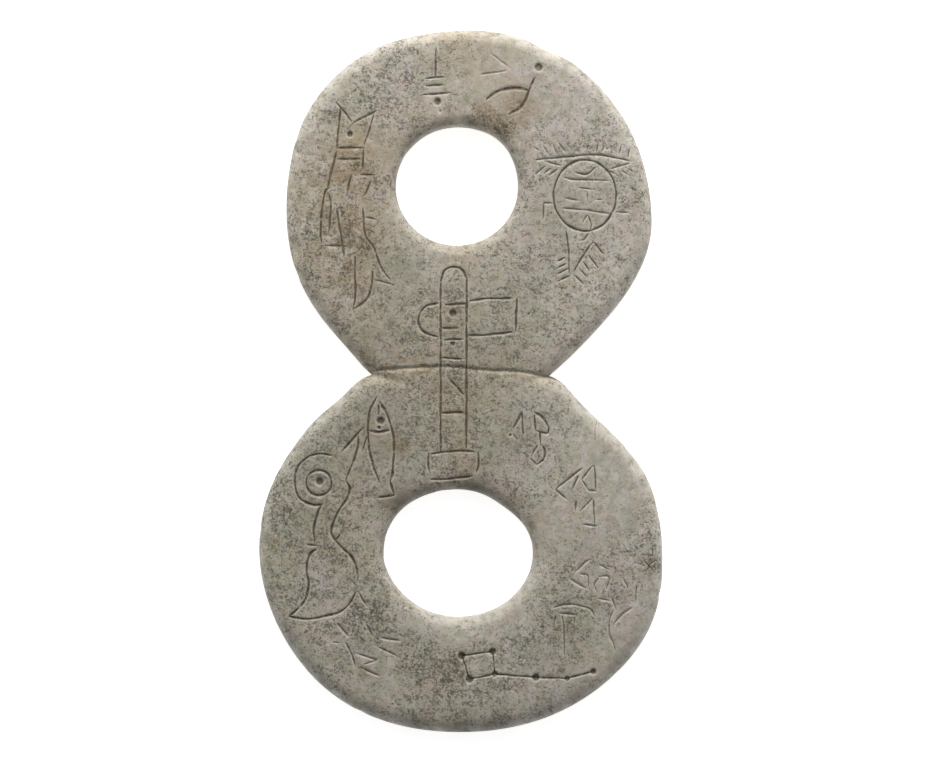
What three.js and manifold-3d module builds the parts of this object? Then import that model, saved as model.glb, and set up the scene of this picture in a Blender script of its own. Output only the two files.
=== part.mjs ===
// A double disc: two pierced stone discs joined at a waist, cut from one slab and carved on its face.
// Millimetres. The slab lies on its plain back: +Z comes out of the carved face, +Y runs up the slab.
import * as THREE from "three";
import { ParametricGeometry } from "three/addons/geometries/ParametricGeometry.js";
import { mergeVertices } from "three/addons/utils/BufferGeometryUtils.js";
import Module from "manifold-3d";

const wasm = await Module();
wasm.setup();

// Slab
const thickness = 14;
const discOverlap = 5.1; // how far the two plain ovals reach into each other
const upperShift = 2.7; // the upper disc stands this far to the right of the lower one

// Discs, without their swells
const upperWidth = 103.4;
const upperHeight = 103.4;
const lowerWidth = 114.8;
const lowerHeight = 101.8;

// Bores, and how far each one's middle is from the middle of its disc
const upperBoreWidth = 34.8;
const upperBoreHeight = 33.8;
const upperBoreShift = [-3.6, 7.6];
const lowerBoreWidth = 42.6;
const lowerBoreHeight = 36.4;
const lowerBoreShift = [-0.5, 0.2];

// Worn edges: how far each one runs in over the face, and how far it drops down the side
const rimRun = 3.8;
const rimDrop = 5;
const boreRun = 3;
const boreDrop = 4;
const backRun = 2.4;
const backDrop = 3;

// Carving
const strokeWidth = 0.9;
const strokeDepth = 0.5;
const pitDepth = 1.1;
const waistWidth = 2.2;
const waistDepth = 1.2;
const waistRise = 2.3; // the waist groove arches up this far between the notches
const backWaistDepth = 0.8;

// Fineness of the faceted surfaces
const discSides = 64;
const edgeSteps = 3;
const bowSteps = 3;
const ringSides = 18;
const pitSides = 9;
const cutterLift = 0.6; // a cutter stands this far above the face it cuts

// Swells and dips of the outlines: [direction in degrees, share of the oval's radius, spread in degrees].
// The last ones of each disc reach into the other disc, or flare out to the waist.
const upperSwells = [
  [133, 0.056, 24],
  [-43, -0.044, 15],
  [-8, 0.014, 8],
  [197, 0.012, 12],
  [152, 0.009, 10],
  [103, -0.01, 8],
  [64, 0.009, 12],
  [65, -0.018, 4],
  [240, 0.036, 7],
  [270, 0.12, 14],
];
const lowerSwells = [
  [160, 0.004, 10],
  [180, 0.005, 8],
  [341, 0.019, 12],
  [206, -0.021, 16],
  [25, 0.014, 14],
  [36, -0.011, 7],
  [134.5, 0.0235, 7],
  [63, 0.082, 7],
  [117, 0.085, 7],
];
const upperBoreSwells = [[48, 0.04, 18]];
const lowerBoreSwells = [[45, -0.05, 16], [140, 0.02, 16], [215, -0.02, 16]];

// Lengths that follow from the sizes above
const length = upperHeight + lowerHeight - discOverlap;
const upperMiddle = [upperShift, (length - upperHeight) / 2];
const lowerMiddle = [0, (lowerHeight - length) / 2];
const drawingUnit = length / 200; // the carving is drawn on a slab 200 units long

const upperDisc = {
  middle: upperMiddle,
  outline: { width: upperWidth, height: upperHeight, squareness: 2, swells: upperSwells },
  bore: { width: upperBoreWidth, height: upperBoreHeight, squareness: 2, swells: upperBoreSwells },
  boreMiddle: [upperMiddle[0] + upperBoreShift[0], upperMiddle[1] + upperBoreShift[1]],
};
const lowerDisc = {
  middle: lowerMiddle,
  outline: { width: lowerWidth, height: lowerHeight, squareness: 2.12, swells: lowerSwells },
  bore: { width: lowerBoreWidth, height: lowerBoreHeight, squareness: 2, swells: lowerBoreSwells },
  boreMiddle: [lowerMiddle[0] + lowerBoreShift[0], lowerMiddle[1] + lowerBoreShift[1]],
};

// Radius of an uneven oval in one direction, in radians.
function ovalRadius(oval, angle) {
  const across = Math.abs(Math.cos(angle)) / (oval.width / 2);
  const along = Math.abs(Math.sin(angle)) / (oval.height / 2);
  const power = oval.squareness;
  const plain = (across ** power + along ** power) ** (-1 / power);
  let share = 1;
  for (const [direction, rise, spread] of oval.swells) {
    const away = THREE.MathUtils.euclideanModulo((angle * 180) / Math.PI - direction + 180, 360) - 180;
    share += rise * Math.exp(-((away / spread) ** 2) / 2);
  }
  return plain * share;
}

// A worn edge as pairs [way in from the wall, height], from the wall to the flat face.
function wornEdge(run, drop, face, towards) {
  const edge = [];
  for (let i = 0; i <= edgeSteps; i += 1) {
    const turn = ((i / edgeSteps) * Math.PI) / 2;
    edge.push([run * (1 - Math.cos(turn)), face - towards * drop * (1 - Math.sin(turn))]);
  }
  return edge;
}

// The cut through one side of a disc: up the rim, over the face, down the bore and back under.
function discSection() {
  const rimBack = wornEdge(backRun, backDrop, 0, -1).reverse();
  const rimFront = wornEdge(rimRun, rimDrop, thickness, 1);
  const boreFront = wornEdge(boreRun, boreDrop, thickness, 1).reverse();
  const boreBack = wornEdge(backRun, backDrop, 0, -1);
  const outside = [...rimBack, ...rimFront].map(([way, height]) => ({ onBore: false, way, height }));
  const inside = [...boreFront, ...boreBack].map(([way, height]) => ({ onBore: true, way, height }));
  return [...outside, ...inside];
}

// One pierced disc as a closed surface, its section carried round the bore.
function discGeometry(disc) {
  const section = discSection();
  const surface = (u, v, target) => {
    const angle = u * 2 * Math.PI;
    const { onBore, way, height } = section[Math.round(v * section.length) % section.length];
    const [x, y] = onBore ? disc.boreMiddle : disc.middle;
    const radius = onBore ? ovalRadius(disc.bore, angle) + way : ovalRadius(disc.outline, angle) - way;
    target.set(x + radius * Math.cos(angle), y + radius * Math.sin(angle), height);
  };
  return new ParametricGeometry(surface, discSides, section.length);
}

// A closed three.js surface as a solid that can be joined and cut.
function solidOf(geometry) {
  const bare = geometry.clone();
  bare.deleteAttribute("normal");
  bare.deleteAttribute("uv");
  const merged = mergeVertices(bare, 1e-4);
  const vertProperties = merged.attributes.position.array;
  const triVerts = new Uint32Array(merged.index.array);
  return new wasm.Manifold(new wasm.Mesh({ numProp: 3, vertProperties, triVerts }));
}

// A cut solid as three.js geometry.
function geometryOf(solid) {
  const { numProp, vertProperties, triVerts } = solid.getMesh();
  const positions = [];
  for (let i = 0; i < vertProperties.length; i += numProp) {
    positions.push(...vertProperties.subarray(i, i + 3));
  }
  const geometry = new THREE.BufferGeometry();
  geometry.setAttribute("position", new THREE.Float32BufferAttribute(positions, 3));
  geometry.setIndex(Array.from(triVerts));
  return geometry;
}

// The V of a groove. X is the way into the stone, Y the way across the groove.
function grooveShape(width, depth) {
  const halfAtTop = ((width / 2) * (depth + cutterLift)) / depth;
  return new THREE.Shape([
    new THREE.Vector2(depth, 0),
    new THREE.Vector2(-cutterLift, halfAtTop),
    new THREE.Vector2(-cutterLift, -halfAtTop),
  ]);
}

// A cutter for a groove that follows a curve lying in the face.
function grooveCutter(curve, steps, width, depth) {
  return new THREE.ExtrudeGeometry(grooveShape(width, depth), { extrudePath: curve, steps });
}

// A place of the drawing, on the carved face.
function onFace(x, y) {
  return new THREE.Vector3(x * drawingUnit, y * drawingUnit, thickness);
}

// A straight stroke.
function line(x0, y0, x1, y1) {
  return grooveCutter(new THREE.LineCurve3(onFace(x0, y0), onFace(x1, y1)), 1, strokeWidth, strokeDepth);
}

// A bent stroke, whose middle stands off its chord by rise, to the left on the way from its start.
function bow(x0, y0, x1, y1, rise) {
  const reach = Math.hypot(x1 - x0, y1 - y0);
  const pullX = (x0 + x1) / 2 - (2 * rise * (y1 - y0)) / reach;
  const pullY = (y0 + y1) / 2 + (2 * rise * (x1 - x0)) / reach;
  const curve = new THREE.QuadraticBezierCurve3(onFace(x0, y0), onFace(pullX, pullY), onFace(x1, y1));
  return grooveCutter(curve, bowSteps, strokeWidth, strokeDepth);
}

// A closed oval stroke.
function ring(x, y, halfWidth, halfHeight) {
  const halfAtTop = ((strokeWidth / 2) * (strokeDepth + cutterLift)) / strokeDepth;
  const radius = halfWidth * drawingUnit;
  const profile = [
    new THREE.Vector2(radius, -strokeDepth),
    new THREE.Vector2(radius + halfAtTop, cutterLift),
    new THREE.Vector2(radius - halfAtTop, cutterLift),
    new THREE.Vector2(radius, -strokeDepth),
  ];
  const cutter = new THREE.LatheGeometry(profile, ringSides);
  cutter.rotateX(Math.PI / 2);
  cutter.scale(1, halfHeight / halfWidth, 1);
  const middle = onFace(x, y);
  return cutter.translate(middle.x, middle.y, middle.z);
}

// A drilled pit, narrower at its floor.
function pit(x, y, radius) {
  const atTop = radius * drawingUnit * (1 + (0.5 * cutterLift) / pitDepth);
  const atFloor = radius * drawingUnit * 0.5;
  const cutter = new THREE.CylinderGeometry(atTop, atFloor, pitDepth + cutterLift, pitSides);
  cutter.rotateX(Math.PI / 2);
  const middle = onFace(x, y);
  return cutter.translate(middle.x, middle.y, middle.z + (cutterLift - pitDepth) / 2);
}

// A row of equal strokes side by side: the first one's start, its run, and the step from each to the next.
function row(count, [x, y], [runX, runY], [stepX, stepY]) {
  const strokes = [];
  for (let i = 0; i < count; i += 1) {
    const startX = x + i * stepX;
    const startY = y + i * stepY;
    strokes.push(line(startX, startY, startX + runX, startY + runY));
  }
  return strokes;
}

// A straight-sided figure: strokes from each corner to the next.
function corners(...places) {
  return places.slice(1).map(([x, y], i) => line(places[i][0], places[i][1], x, y));
}

// Upper disc, left: a standing beast with a two-pointed crown and a forked tail.
function beast() {
  return [
    ...corners([-34.9, 79.3], [-30.6, 73.8], [-23.7, 77.1]),
    pit(-31.3, 70.5, 1),
    line(-34, 78, -35, 66.5),
    line(-24.6, 76, -27.1, 67.6),
    line(-34.6, 66.5, -27.6, 66.6),
    line(-34.8, 63.3, -28.3, 63.4),
    line(-35.1, 65.5, -37.6, 55),
    line(-27.4, 65.9, -27.7, 60.9),
    line(-28.3, 58.9, -24.6, 58.9),
    line(-25.4, 57, -27, 53.3),
    line(-30.9, 58.7, -32.2, 53.5),
    bow(-37.4, 54.4, -39.3, 39.7, -1.1),
    line(-37, 51.5, -37.3, 42.7),
    line(-35, 48.6, -33, 40),
    line(-38.3, 38.8, -32.6, 38.6),
    bow(-27.6, 49.4, -26.1, 41.5, 0.3),
    line(-26.7, 46.8, -23.9, 46.2),
    bow(-26, 40.4, -19.8, 29, 0.8),
    line(-24.1, 29, -20.6, 28.1),
    line(-29.8, 35.7, -30.4, 21.6),
    bow(-24.8, 31.4, -29.6, 21, 1.9),
  ];
}

// Upper disc, top: a stem over three bars, and beside it an arrow and a crossed pair of bows.
function topSigns() {
  return [
    line(-6.9, 94.8, -7, 87.4),
    ...row(3, [-9.8, 86.4], [5.4, 0.3], [-0.3, -2.2]),
    pit(-6.4, 79.4, 1.2),
    ...corners([9.1, 93], [13.8, 89.1]),
    line(6.1, 87.4, 13, 88.4),
    pit(22.4, 89.5, 1.3),
    bow(7.6, 80.4, 19.2, 83, 1.6),
    bow(21.1, 86.1, 14.3, 76.3, 1.2),
  ];
}

// Upper disc, right: a round shell under a feathered brow, with a barbed tail.
function shell() {
  return [
    ring(35.5, 53, 8.9, 10.1),
    bow(21.6, 63.1, 48.2, 63.1, 1.4),
    line(23.8, 62.2, 28.2, 61),
    line(48, 62, 42.5, 60.4),
    ...row(4, [21.4, 66.7], [1.5, -2], [2.3, 0.5]),
    ...row(4, [39.2, 67.5], [-0.6, -2.1], [3, -0.3]),
    ...row(3, [21.6, 59], [2, 1.6], [2, -0.1]),
    ...row(3, [43.4, 59.9], [1.5, -0.9], [2.3, 0.3]),
    line(29.8, 57.8, 42, 57.2),
    ...corners([33.2, 59.3], [36, 59.1], [38.2, 60.7]),
    line(33.9, 55.2, 37.7, 54.7),
    line(36.2, 53.6, 36.2, 51.9),
    line(30.3, 52.2, 33.4, 51.7),
    line(38.4, 51.9, 40.3, 51.8),
    line(29.2, 49.4, 42.4, 48),
    line(36, 47, 34.9, 45.4),
    line(36.7, 47, 37.2, 44),
    ...corners([26, 50.7], [23.6, 50.9], [23.6, 46]),
    line(45.4, 48.2, 47.7, 48.2),
    bow(33.4, 40.2, 36.4, 41.8, -0.5),
    line(30.2, 41.6, 31.1, 30.8),
    line(37.3, 39.2, 32.3, 31.3),
    ...row(4, [27.6, 34.2], [2.5, 1.4], [0.1, -1.9]),
    ...row(5, [38.3, 38.6], [2.2, -2.6], [-1.4, -2.2]),
  ];
}

// Middle: a hafted axe on a block, its haft crossing the waist.
function axe() {
  const haftLeft = -5.5;
  const haftRight = 1.9;
  const haftTop = 28.6;
  const haftFoot = -19.6;
  const barHeights = [22.1, 15.2, 12, 6.7, -8.8];
  return [
    line(haftLeft, haftTop, haftLeft, haftFoot),
    line(haftRight, haftTop, haftRight, haftFoot),
    bow(haftLeft, haftTop, haftRight, haftTop, 4.1),
    ...barHeights.map((height) => line(haftLeft + 0.7, height, haftRight - 0.8, height)),
    pit(-2, 19, 1.1),
    pit(-2.1, 9.6, 0.8),
    line(-3.2, 1.1, 0.7, -3.5),
    bow(-6.4, 22.4, -6.4, 12.8, -5.4),
    line(3, 23, 15.4, 23.8),
    line(16.2, 23, 15.8, 14.9),
    line(15, 14, 3, 13.2),
    ...corners([-8.6, -20.6], [-8.9, -27.5], [3.6, -26.9]),
    line(-8, -20.5, 4.4, -20.1),
    line(5.2, -20.6, 4.8, -25.9),
  ];
}

// Lower disc, left: a fish, and a tall bird with a ringed eye.
function fish() {
  return [
    bow(-23.8, -4.4, -23.1, -28.2, -2.7),
    bow(-22.5, -6.1, -19.8, -28, 2.3),
    pit(-22.6, -11, 1),
    line(-25.5, -13.9, -20.2, -13.9),
    ...corners([-19.7, -28.8], [-18.6, -32.2], [-23.1, -32.8]),
  ];
}

function bird() {
  return [
    ring(-40.1, -28.7, 3.6, 3.6),
    pit(-40, -28.4, 1.1),
    line(-27.6, -13.1, -33.7, -19.9),
    bow(-29, -16.4, -32.5, -27.2, 0.8),
    line(-27, -16, -27.9, -19.7),
    bow(-42.4, -20.9, -36.5, -20.9, 0.4),
    bow(-43.1, -21.6, -45, -33, -2.9),
    bow(-44.6, -33.9, -39.4, -35, -0.8),
    bow(-32.3, -28.4, -34.7, -37, 1.5),
    bow(-34.9, -37.4, -33.9, -46.2, -2.1),
    bow(-33.6, -46.8, -29, -55.9, 1.2),
    bow(-29.7, -59.9, -38, -66.5, 1.6),
    bow(-38.5, -66.7, -48.2, -67.2, 0.6),
    bow(-39.4, -35.6, -41.4, -44.6, -0.8),
    line(-43.4, -46.2, -40.5, -46.5),
    bow(-40.8, -47.7, -43.6, -54.3, -1.1),
    bow(-43.6, -55, -48, -66, 2),
    line(-28.5, -60.8, -26.4, -63.8),
    line(-34.9, -68.9, -31.6, -72.3),
    line(-32.5, -74.1, -29.7, -81),
    line(-26.6, -69, -24.7, -72.3),
    line(-29, -77.2, -24.2, -78.6),
    line(-27.3, -80.6, -23.8, -79.4),
    line(-27.4, -82, -22.9, -84),
    line(-22.2, -72.8, -17.2, -73.5),
  ];
}

// Lower disc, right: a column of small signs made of straight cuts.
function smallSigns() {
  return [
    ...corners([15.2, -13], [17.7, -8.3], [17.9, -14.8]),
    line(14.6, -15, 16.2, -16.6),
    bow(21.2, -8.5, 25.4, -12.7, 0.6),
    ...corners([21.2, -9.6], [21.5, -13.8], [25.1, -14.6]),
    line(22.7, -15, 22.9, -17.6),
    ...corners([22.2, -18.4], [20.1, -21.5], [22, -23.6]),
    bow(23.6, -18.6, 22.8, -23.2, 0.8),
    ...corners([34.5, -24.6], [27.1, -30.6], [30.3, -33.2]),
    line(33.7, -26.9, 31.9, -30.3),
    ...corners([37.3, -24], [34.4, -27.7], [36.4, -31], [38.9, -31.2]),
    line(38.3, -24.3, 38.7, -30.2),
    ...corners([34.3, -36.4], [37.8, -33], [38.3, -40.4], [35.1, -40.3]),
    line(33, -33.8, 32.8, -36.4),
    bow(36.8, -50.5, 33.2, -53.7, 0.4),
    ...corners([34.1, -54.7], [36.4, -55.1], [36.6, -57.8]),
    line(31.4, -56, 35.5, -58.6),
    line(39.8, -52.1, 42.3, -53.3),
    ...corners([38.9, -59.4], [38.2, -57.4], [39.5, -55.3], [42.3, -55.4], [41.7, -58.5]),
    line(39.5, -61.6, 42.7, -62.1),
    line(46.4, -55.8, 47.7, -58.5),
    line(50.2, -57.6, 50, -62.6),
    bow(26.6, -64.2, 38.4, -66.6, 1.7),
    line(28, -65.9, 32.7, -66.4),
    line(27, -66.8, 26.9, -69),
    line(29.4, -67, 29.6, -77.7),
    line(32.7, -67.2, 32.4, -69),
    bow(48.9, -64.1, 43.6, -68.9, 0.3),
    bow(43.2, -65.4, 44.1, -76.1, -1.2),
    line(43.2, -61.6, 44.5, -64.8),
  ];
}

// Lower disc, foot: seven drilled pits joined by strokes, four in a bowl and three along its handle.
function pitChain() {
  const bowl = [[9.3, -76.6], [0.5, -77.8], [2.7, -84.5], [9.9, -83]];
  const handle = [[9.9, -83], [21.6, -84], [30.5, -84.3], [37.9, -82.3]];
  const places = [...bowl, ...handle.slice(1)];
  return [
    ...places.map(([x, y]) => pit(x, y, 1.3)),
    ...corners(...bowl, bowl[0]),
    ...corners(...handle),
  ];
}

// True where a place lies inside a disc's outline.
function insideDisc(disc, x, y) {
  const fromMiddleX = x - disc.middle[0];
  const fromMiddleY = y - disc.middle[1];
  const angle = Math.atan2(fromMiddleY, fromMiddleX);
  return Math.hypot(fromMiddleX, fromMiddleY) < ovalRadius(disc.outline, angle);
}

// The notch where the two outlines cross: down the lower disc's shoulder until it leaves the upper disc.
// Side is 1 for the right notch and -1 for the left one.
function notch(side) {
  const place = new THREE.Vector3();
  for (let degrees = 90; degrees > 0; degrees -= 0.5) {
    const angle = Math.PI / 2 + side * THREE.MathUtils.degToRad(degrees - 90);
    const radius = ovalRadius(lowerDisc.outline, angle);
    const [x, y] = lowerDisc.middle;
    place.set(x + radius * Math.cos(angle), y + radius * Math.sin(angle), thickness);
    if (!insideDisc(upperDisc, place.x, place.y)) break;
  }
  return place;
}

// The groove across the waist, on one side of the slab, arched between the notches and run out past them.
function waistGroove(depth) {
  const left = notch(-1);
  const right = notch(1);
  const crown = left.clone().add(right).divideScalar(2);
  crown.y += waistRise;
  const overrun = right.clone().sub(left).multiplyScalar(0.12);
  overrun.y = 0;
  const start = left.clone().sub(overrun);
  const end = right.clone().add(overrun);
  start.y -= waistRise / 2;
  end.y -= waistRise / 2;
  const pull = crown.clone().multiplyScalar(2).sub(start.clone().add(end).divideScalar(2));
  const curve = new THREE.QuadraticBezierCurve3(start, pull, end);
  return grooveCutter(curve, 4 * bowSteps, (waistWidth * depth) / waistDepth, depth);
}

// The same groove turned over onto the back.
function backWaistGroove() {
  return waistGroove(backWaistDepth).rotateY(Math.PI).translate(0, 0, thickness);
}

const cutters = [
  waistGroove(waistDepth),
  backWaistGroove(),
  ...beast(),
  ...topSigns(),
  ...shell(),
  ...axe(),
  ...fish(),
  ...bird(),
  ...smallSigns(),
  ...pitChain(),
];
const slab = solidOf(discGeometry(upperDisc)).add(solidOf(discGeometry(lowerDisc)));
const carved = cutters.reduce((solid, cutter) => solid.subtract(solidOf(cutter)), slab);

const stone = new THREE.MeshStandardMaterial({ color: 0xa39a8c, roughness: 0.72, metalness: 0 });
const doubleDisc = new THREE.Mesh(geometryOf(carved), stone);
doubleDisc.name = "double_disc";

// The origin is under the middle of the slab's outer box.
doubleDisc.geometry.computeBoundingBox();
const middle = doubleDisc.geometry.boundingBox.getCenter(new THREE.Vector3());
doubleDisc.position.set(-middle.x, -middle.y, 0);

const group = new THREE.Group();
group.add(doubleDisc);

export default group;
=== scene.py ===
# %% [markdown]
# # Two pierced discs in one slab of stone
# The real object is one flat slab of grey-beige stone, ground into two pierced discs that
# meet at a notched waist. Its face carries incised signs and drilled pits, and every edge is
# worn round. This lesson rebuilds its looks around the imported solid: first the frame, then
# the blank, the weathering, the carving, the stone itself, and last the studio.

# %% The frame
import math

import bpy
import numpy as np
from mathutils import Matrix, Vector
from mathutils.geometry import delaunay_2d_cdt


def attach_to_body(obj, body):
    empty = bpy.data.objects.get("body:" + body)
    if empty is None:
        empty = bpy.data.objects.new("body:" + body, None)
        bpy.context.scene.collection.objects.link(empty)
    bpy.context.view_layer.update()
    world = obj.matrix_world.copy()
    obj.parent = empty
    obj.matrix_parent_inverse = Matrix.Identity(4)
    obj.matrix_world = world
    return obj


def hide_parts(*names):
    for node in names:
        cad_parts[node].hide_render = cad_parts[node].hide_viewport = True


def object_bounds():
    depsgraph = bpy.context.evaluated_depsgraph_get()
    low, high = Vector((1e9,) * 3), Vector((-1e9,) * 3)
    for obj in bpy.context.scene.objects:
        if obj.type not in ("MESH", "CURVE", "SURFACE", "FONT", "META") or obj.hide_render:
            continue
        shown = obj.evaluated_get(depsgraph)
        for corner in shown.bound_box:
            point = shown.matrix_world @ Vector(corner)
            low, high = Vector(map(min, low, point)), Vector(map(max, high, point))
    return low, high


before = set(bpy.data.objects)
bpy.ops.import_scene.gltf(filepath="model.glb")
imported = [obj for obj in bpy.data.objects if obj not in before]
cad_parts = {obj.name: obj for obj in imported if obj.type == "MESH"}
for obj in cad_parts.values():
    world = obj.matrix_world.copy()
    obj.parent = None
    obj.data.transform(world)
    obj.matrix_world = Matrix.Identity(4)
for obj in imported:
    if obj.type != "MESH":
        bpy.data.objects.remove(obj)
cad_low, cad_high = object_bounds()
print("CAD box in metres:", tuple(cad_low), tuple(cad_high))

# %% [markdown]
# ## Sizes
# The slab is drawn in millimetres, with its waist near y = 0, and comes into the frame in
# metres at the end. The discs are uneven ovals: a plain oval whose radius swells or dips in
# a few directions. The numbers are the ones that the solid is built from, so the piece and
# the solid share their outline, their bores and the profile of their worn edges.

# %% Sizes of the slab
MM = 0.001
thickness = 14.0
slab_length = 200.1
upper_width, upper_height, upper_shift = 103.4, 103.4, 2.7
lower_width, lower_height = 114.8, 101.8
upper_bore_shift, lower_bore_shift = [-3.6, 7.6], [-0.5, 0.2]

# Worn edges: how far each one runs in over the slab, and how far it drops
rim_run, rim_drop = 3.8, 5.0
bore_run, bore_drop = 3.0, 4.0
back_run, back_drop = 2.4, 3.0

# The face sinks softly towards the rim and the bores: over this run, by this much
rim_soft = (8.0, 0.6)
bore_softs = [(7.0, 0.6), (8.0, 1.0)]

# Swells: direction in degrees, share of the radius, spread in degrees
upper_middle = np.array([upper_shift, (slab_length - upper_height) / 2])
lower_middle = np.array([0.0, (lower_height - slab_length) / 2])
upper_outline = dict(width=upper_width, height=upper_height, squareness=2.0, swells=[
    (133, 0.056, 24), (-43, -0.044, 15), (-8, 0.014, 8), (197, 0.012, 12), (152, 0.009, 10),
    (103, -0.01, 8), (64, 0.009, 12), (65, -0.018, 4), (240, 0.036, 7), (270, 0.12, 14)])
lower_outline = dict(width=lower_width, height=lower_height, squareness=2.12, swells=[
    (160, 0.004, 10), (180, 0.005, 8), (341, 0.019, 12), (206, -0.021, 16), (25, 0.014, 14),
    (36, -0.011, 7), (134.5, 0.0235, 7), (63, 0.082, 7), (117, 0.085, 7)])
upper_bore = dict(width=34.8, height=33.8, squareness=2.0, swells=[(48, 0.04, 18)])
lower_bore = dict(width=42.6, height=36.4, squareness=2.0, swells=[
    (45, -0.05, 16), (140, 0.02, 16), (215, -0.02, 16)])
discs = [(upper_outline, upper_middle), (lower_outline, lower_middle)]
bores = [(upper_bore, upper_middle + upper_bore_shift), (lower_bore, lower_middle + lower_bore_shift)]
print("slab", slab_length, "mm long,", thickness, "mm thick")

# %% [markdown]
# ## Outlines
# A place's way in is how far it lies inside an oval, measured towards the oval's middle. All
# that follows the edges, such as the worn profile, reads it, so it is written once.

# %% Ovals and ways in
turn = 2 * math.pi


def oval_radius(oval, angle):
    """Radius of an uneven oval in the given directions, in radians."""
    across = np.abs(np.cos(angle)) / (oval["width"] / 2)
    along = np.abs(np.sin(angle)) / (oval["height"] / 2)
    plain = (across ** oval["squareness"] + along ** oval["squareness"]) ** (-1 / oval["squareness"])
    share = 1.0
    for direction, rise, spread in oval["swells"]:
        away = (np.degrees(angle) - direction + 180) % 360 - 180
        share = share + rise * np.exp(-((away / spread) ** 2) / 2)
    return plain * share


def oval_place(oval, middle, angle, way=0.0):
    """Places on an oval, or that far inside it."""
    radius = oval_radius(oval, angle) - way
    return middle + np.column_stack([radius * np.cos(angle), radius * np.sin(angle)])


def way_in(oval, middle, places):
    """How far places lie inside an oval; below zero outside it."""
    dx, dy = (places - middle).T
    return oval_radius(oval, np.arctan2(dy, dx)) - np.hypot(dx, dy)


def edge_ways(places):
    """Ways in from the joined outline and out from the nearer bore."""
    from_rim = np.maximum(way_in(*discs[0], places), way_in(*discs[1], places))
    from_bore = np.minimum(-way_in(*bores[0], places), -way_in(*bores[1], places))
    return from_rim, from_bore


waist_middle = np.array([[0.0, 0.0]])
print("way in at the waist's middle:", edge_ways(waist_middle)[0].round(1)[0], "mm")

# %% [markdown]
# The joined outline has two sharp notches, where the ovals cross. They are found by halving:
# the place walks down the lower disc's shoulder until it leaves the upper disc. From notch to
# notch, places stand at even steps along each disc, and so do those round each bore.

# %% Notches and loops
edge_step, bore_step = 0.8, 0.64
shoulder_reach, shoulder_step = 80, 0.5
fine_count, halvings = 6000, 30


def walk(oval, middle, start, end, step):
    """Directions from start to end that are evenly spaced along an oval."""
    fine = np.linspace(start, end, fine_count)
    places = oval_place(oval, middle, fine)
    run = np.concatenate([[0], np.cumsum(np.hypot(*np.diff(places, axis=0).T))])
    count = round(run[-1] / step)
    return np.interp(np.linspace(0, run[-1], count + 1)[:-1], run, fine)


def notch_place(side):
    """Where the two outlines cross: side is 1 on the right and -1 on the left."""
    low, high = 0.0, float(shoulder_reach)
    for degrees in np.arange(0, shoulder_reach, shoulder_step):
        angle = np.array([math.pi / 2 - side * math.radians(degrees)])
        if way_in(*discs[0], oval_place(*discs[1], angle))[0] < 0:
            low, high = degrees - shoulder_step, degrees
            break
    for _ in range(halvings):
        middle = (low + high) / 2
        angle = np.array([math.pi / 2 - side * math.radians(middle)])
        inside = way_in(*discs[0], oval_place(*discs[1], angle))[0] > 0
        low, high = (middle, high) if inside else (low, middle)
    return oval_place(*discs[1], angle)[0]


def direction_of(place, middle):
    """Direction of a place from an oval's middle, in radians."""
    return math.atan2(place[1] - middle[1], place[0] - middle[0])


right_notch, left_notch = notch_place(1), notch_place(-1)
upper_walk = walk(*discs[0], direction_of(right_notch, upper_middle),
                  direction_of(left_notch, upper_middle) % turn, edge_step)
lower_walk = walk(*discs[1], direction_of(left_notch, lower_middle),
                  direction_of(right_notch, lower_middle) + turn, edge_step)
bore_walks = [walk(*bore, turn, 0.0, bore_step) for bore in bores]
rim_loop = np.vstack([oval_place(*discs[0], upper_walk), oval_place(*discs[1], lower_walk)])
loops = [rim_loop] + [oval_place(*bore, angles) for bore, angles in zip(bores, bore_walks)]
box_middle = (np.array(cad_low[:2]) + np.array(cad_high[:2])) / 2
shift = box_middle / MM - (rim_loop.min(0) + rim_loop.max(0)) / 2
print("notches at", right_notch.round(1), left_notch.round(1), "shift into the frame", shift.round(2))

# %% [markdown]
# ## The drawing on the face
# The signs were cut by hand with a hard point: thin V-shaped strokes that start and end
# shallow. They could be painted on as a bump, but the light rakes over this face, so real
# cuts look better. Each sign is written as a list of strokes in millimetres. Two places make
# a straight stroke, and more make a soft curve through all of them.

# %% Signs of the upper disc
beast = [
    [(-34.9, 79.3), (-30.8, 74.1)], [(-30.4, 73.6), (-23.7, 77.1)],
    [(-33.9, 78.1), (-34.5, 72.2), (-35, 66.5)], [(-35.1, 65.5), (-36.7, 59.4), (-37.6, 55)],
    [(-24.6, 76), (-25.7, 71.9), (-27.1, 67.6)], [(-27.4, 65.9), (-27.7, 60.9)],
    [(-34.6, 66.5), (-27.6, 66.6)], [(-34.8, 63.3), (-28.3, 63.4)], [(-28.3, 58.9), (-24.6, 58.9)],
    [(-25.4, 57), (-27, 53.3)], [(-30.9, 58.7), (-32.2, 53.5)],
    [(-37.2, 55.2), (-38.3, 54), (-39.3, 48.9), (-39.6, 42.7), (-39.3, 39.7)],
    [(-37.1, 53.1), (-36.7, 49.9), (-37.3, 42.7)], [(-35, 48.6), (-33.9, 42.3), (-33, 36.1)],
    [(-38.3, 38.8), (-32.6, 38.6)], [(-27.6, 49.4), (-27.4, 45.5), (-27, 42.2), (-26.1, 40.1)],
    [(-26.7, 46.8), (-23.9, 46.2)], [(-26.5, 40.9), (-24.3, 37.9), (-22.6, 32.9), (-19.8, 29)],
    [(-24.1, 29), (-19.3, 27.8)], [(-29.8, 35.7), (-29.9, 31.4), (-29.7, 24.9), (-30.4, 20.9)],
    [(-24.8, 31.4), (-25.2, 27), (-26.7, 23.4), (-30.2, 20.7)],
]
barred_stem = [
    [(-6.8, 94.8), (-7, 86.6)], [(-9.7, 86.3), (-4.2, 86.7)], [(-9.7, 84.2), (-4.8, 84.4)],
    [(-10.8, 81.6), (-2.6, 82.2)],
]
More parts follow.
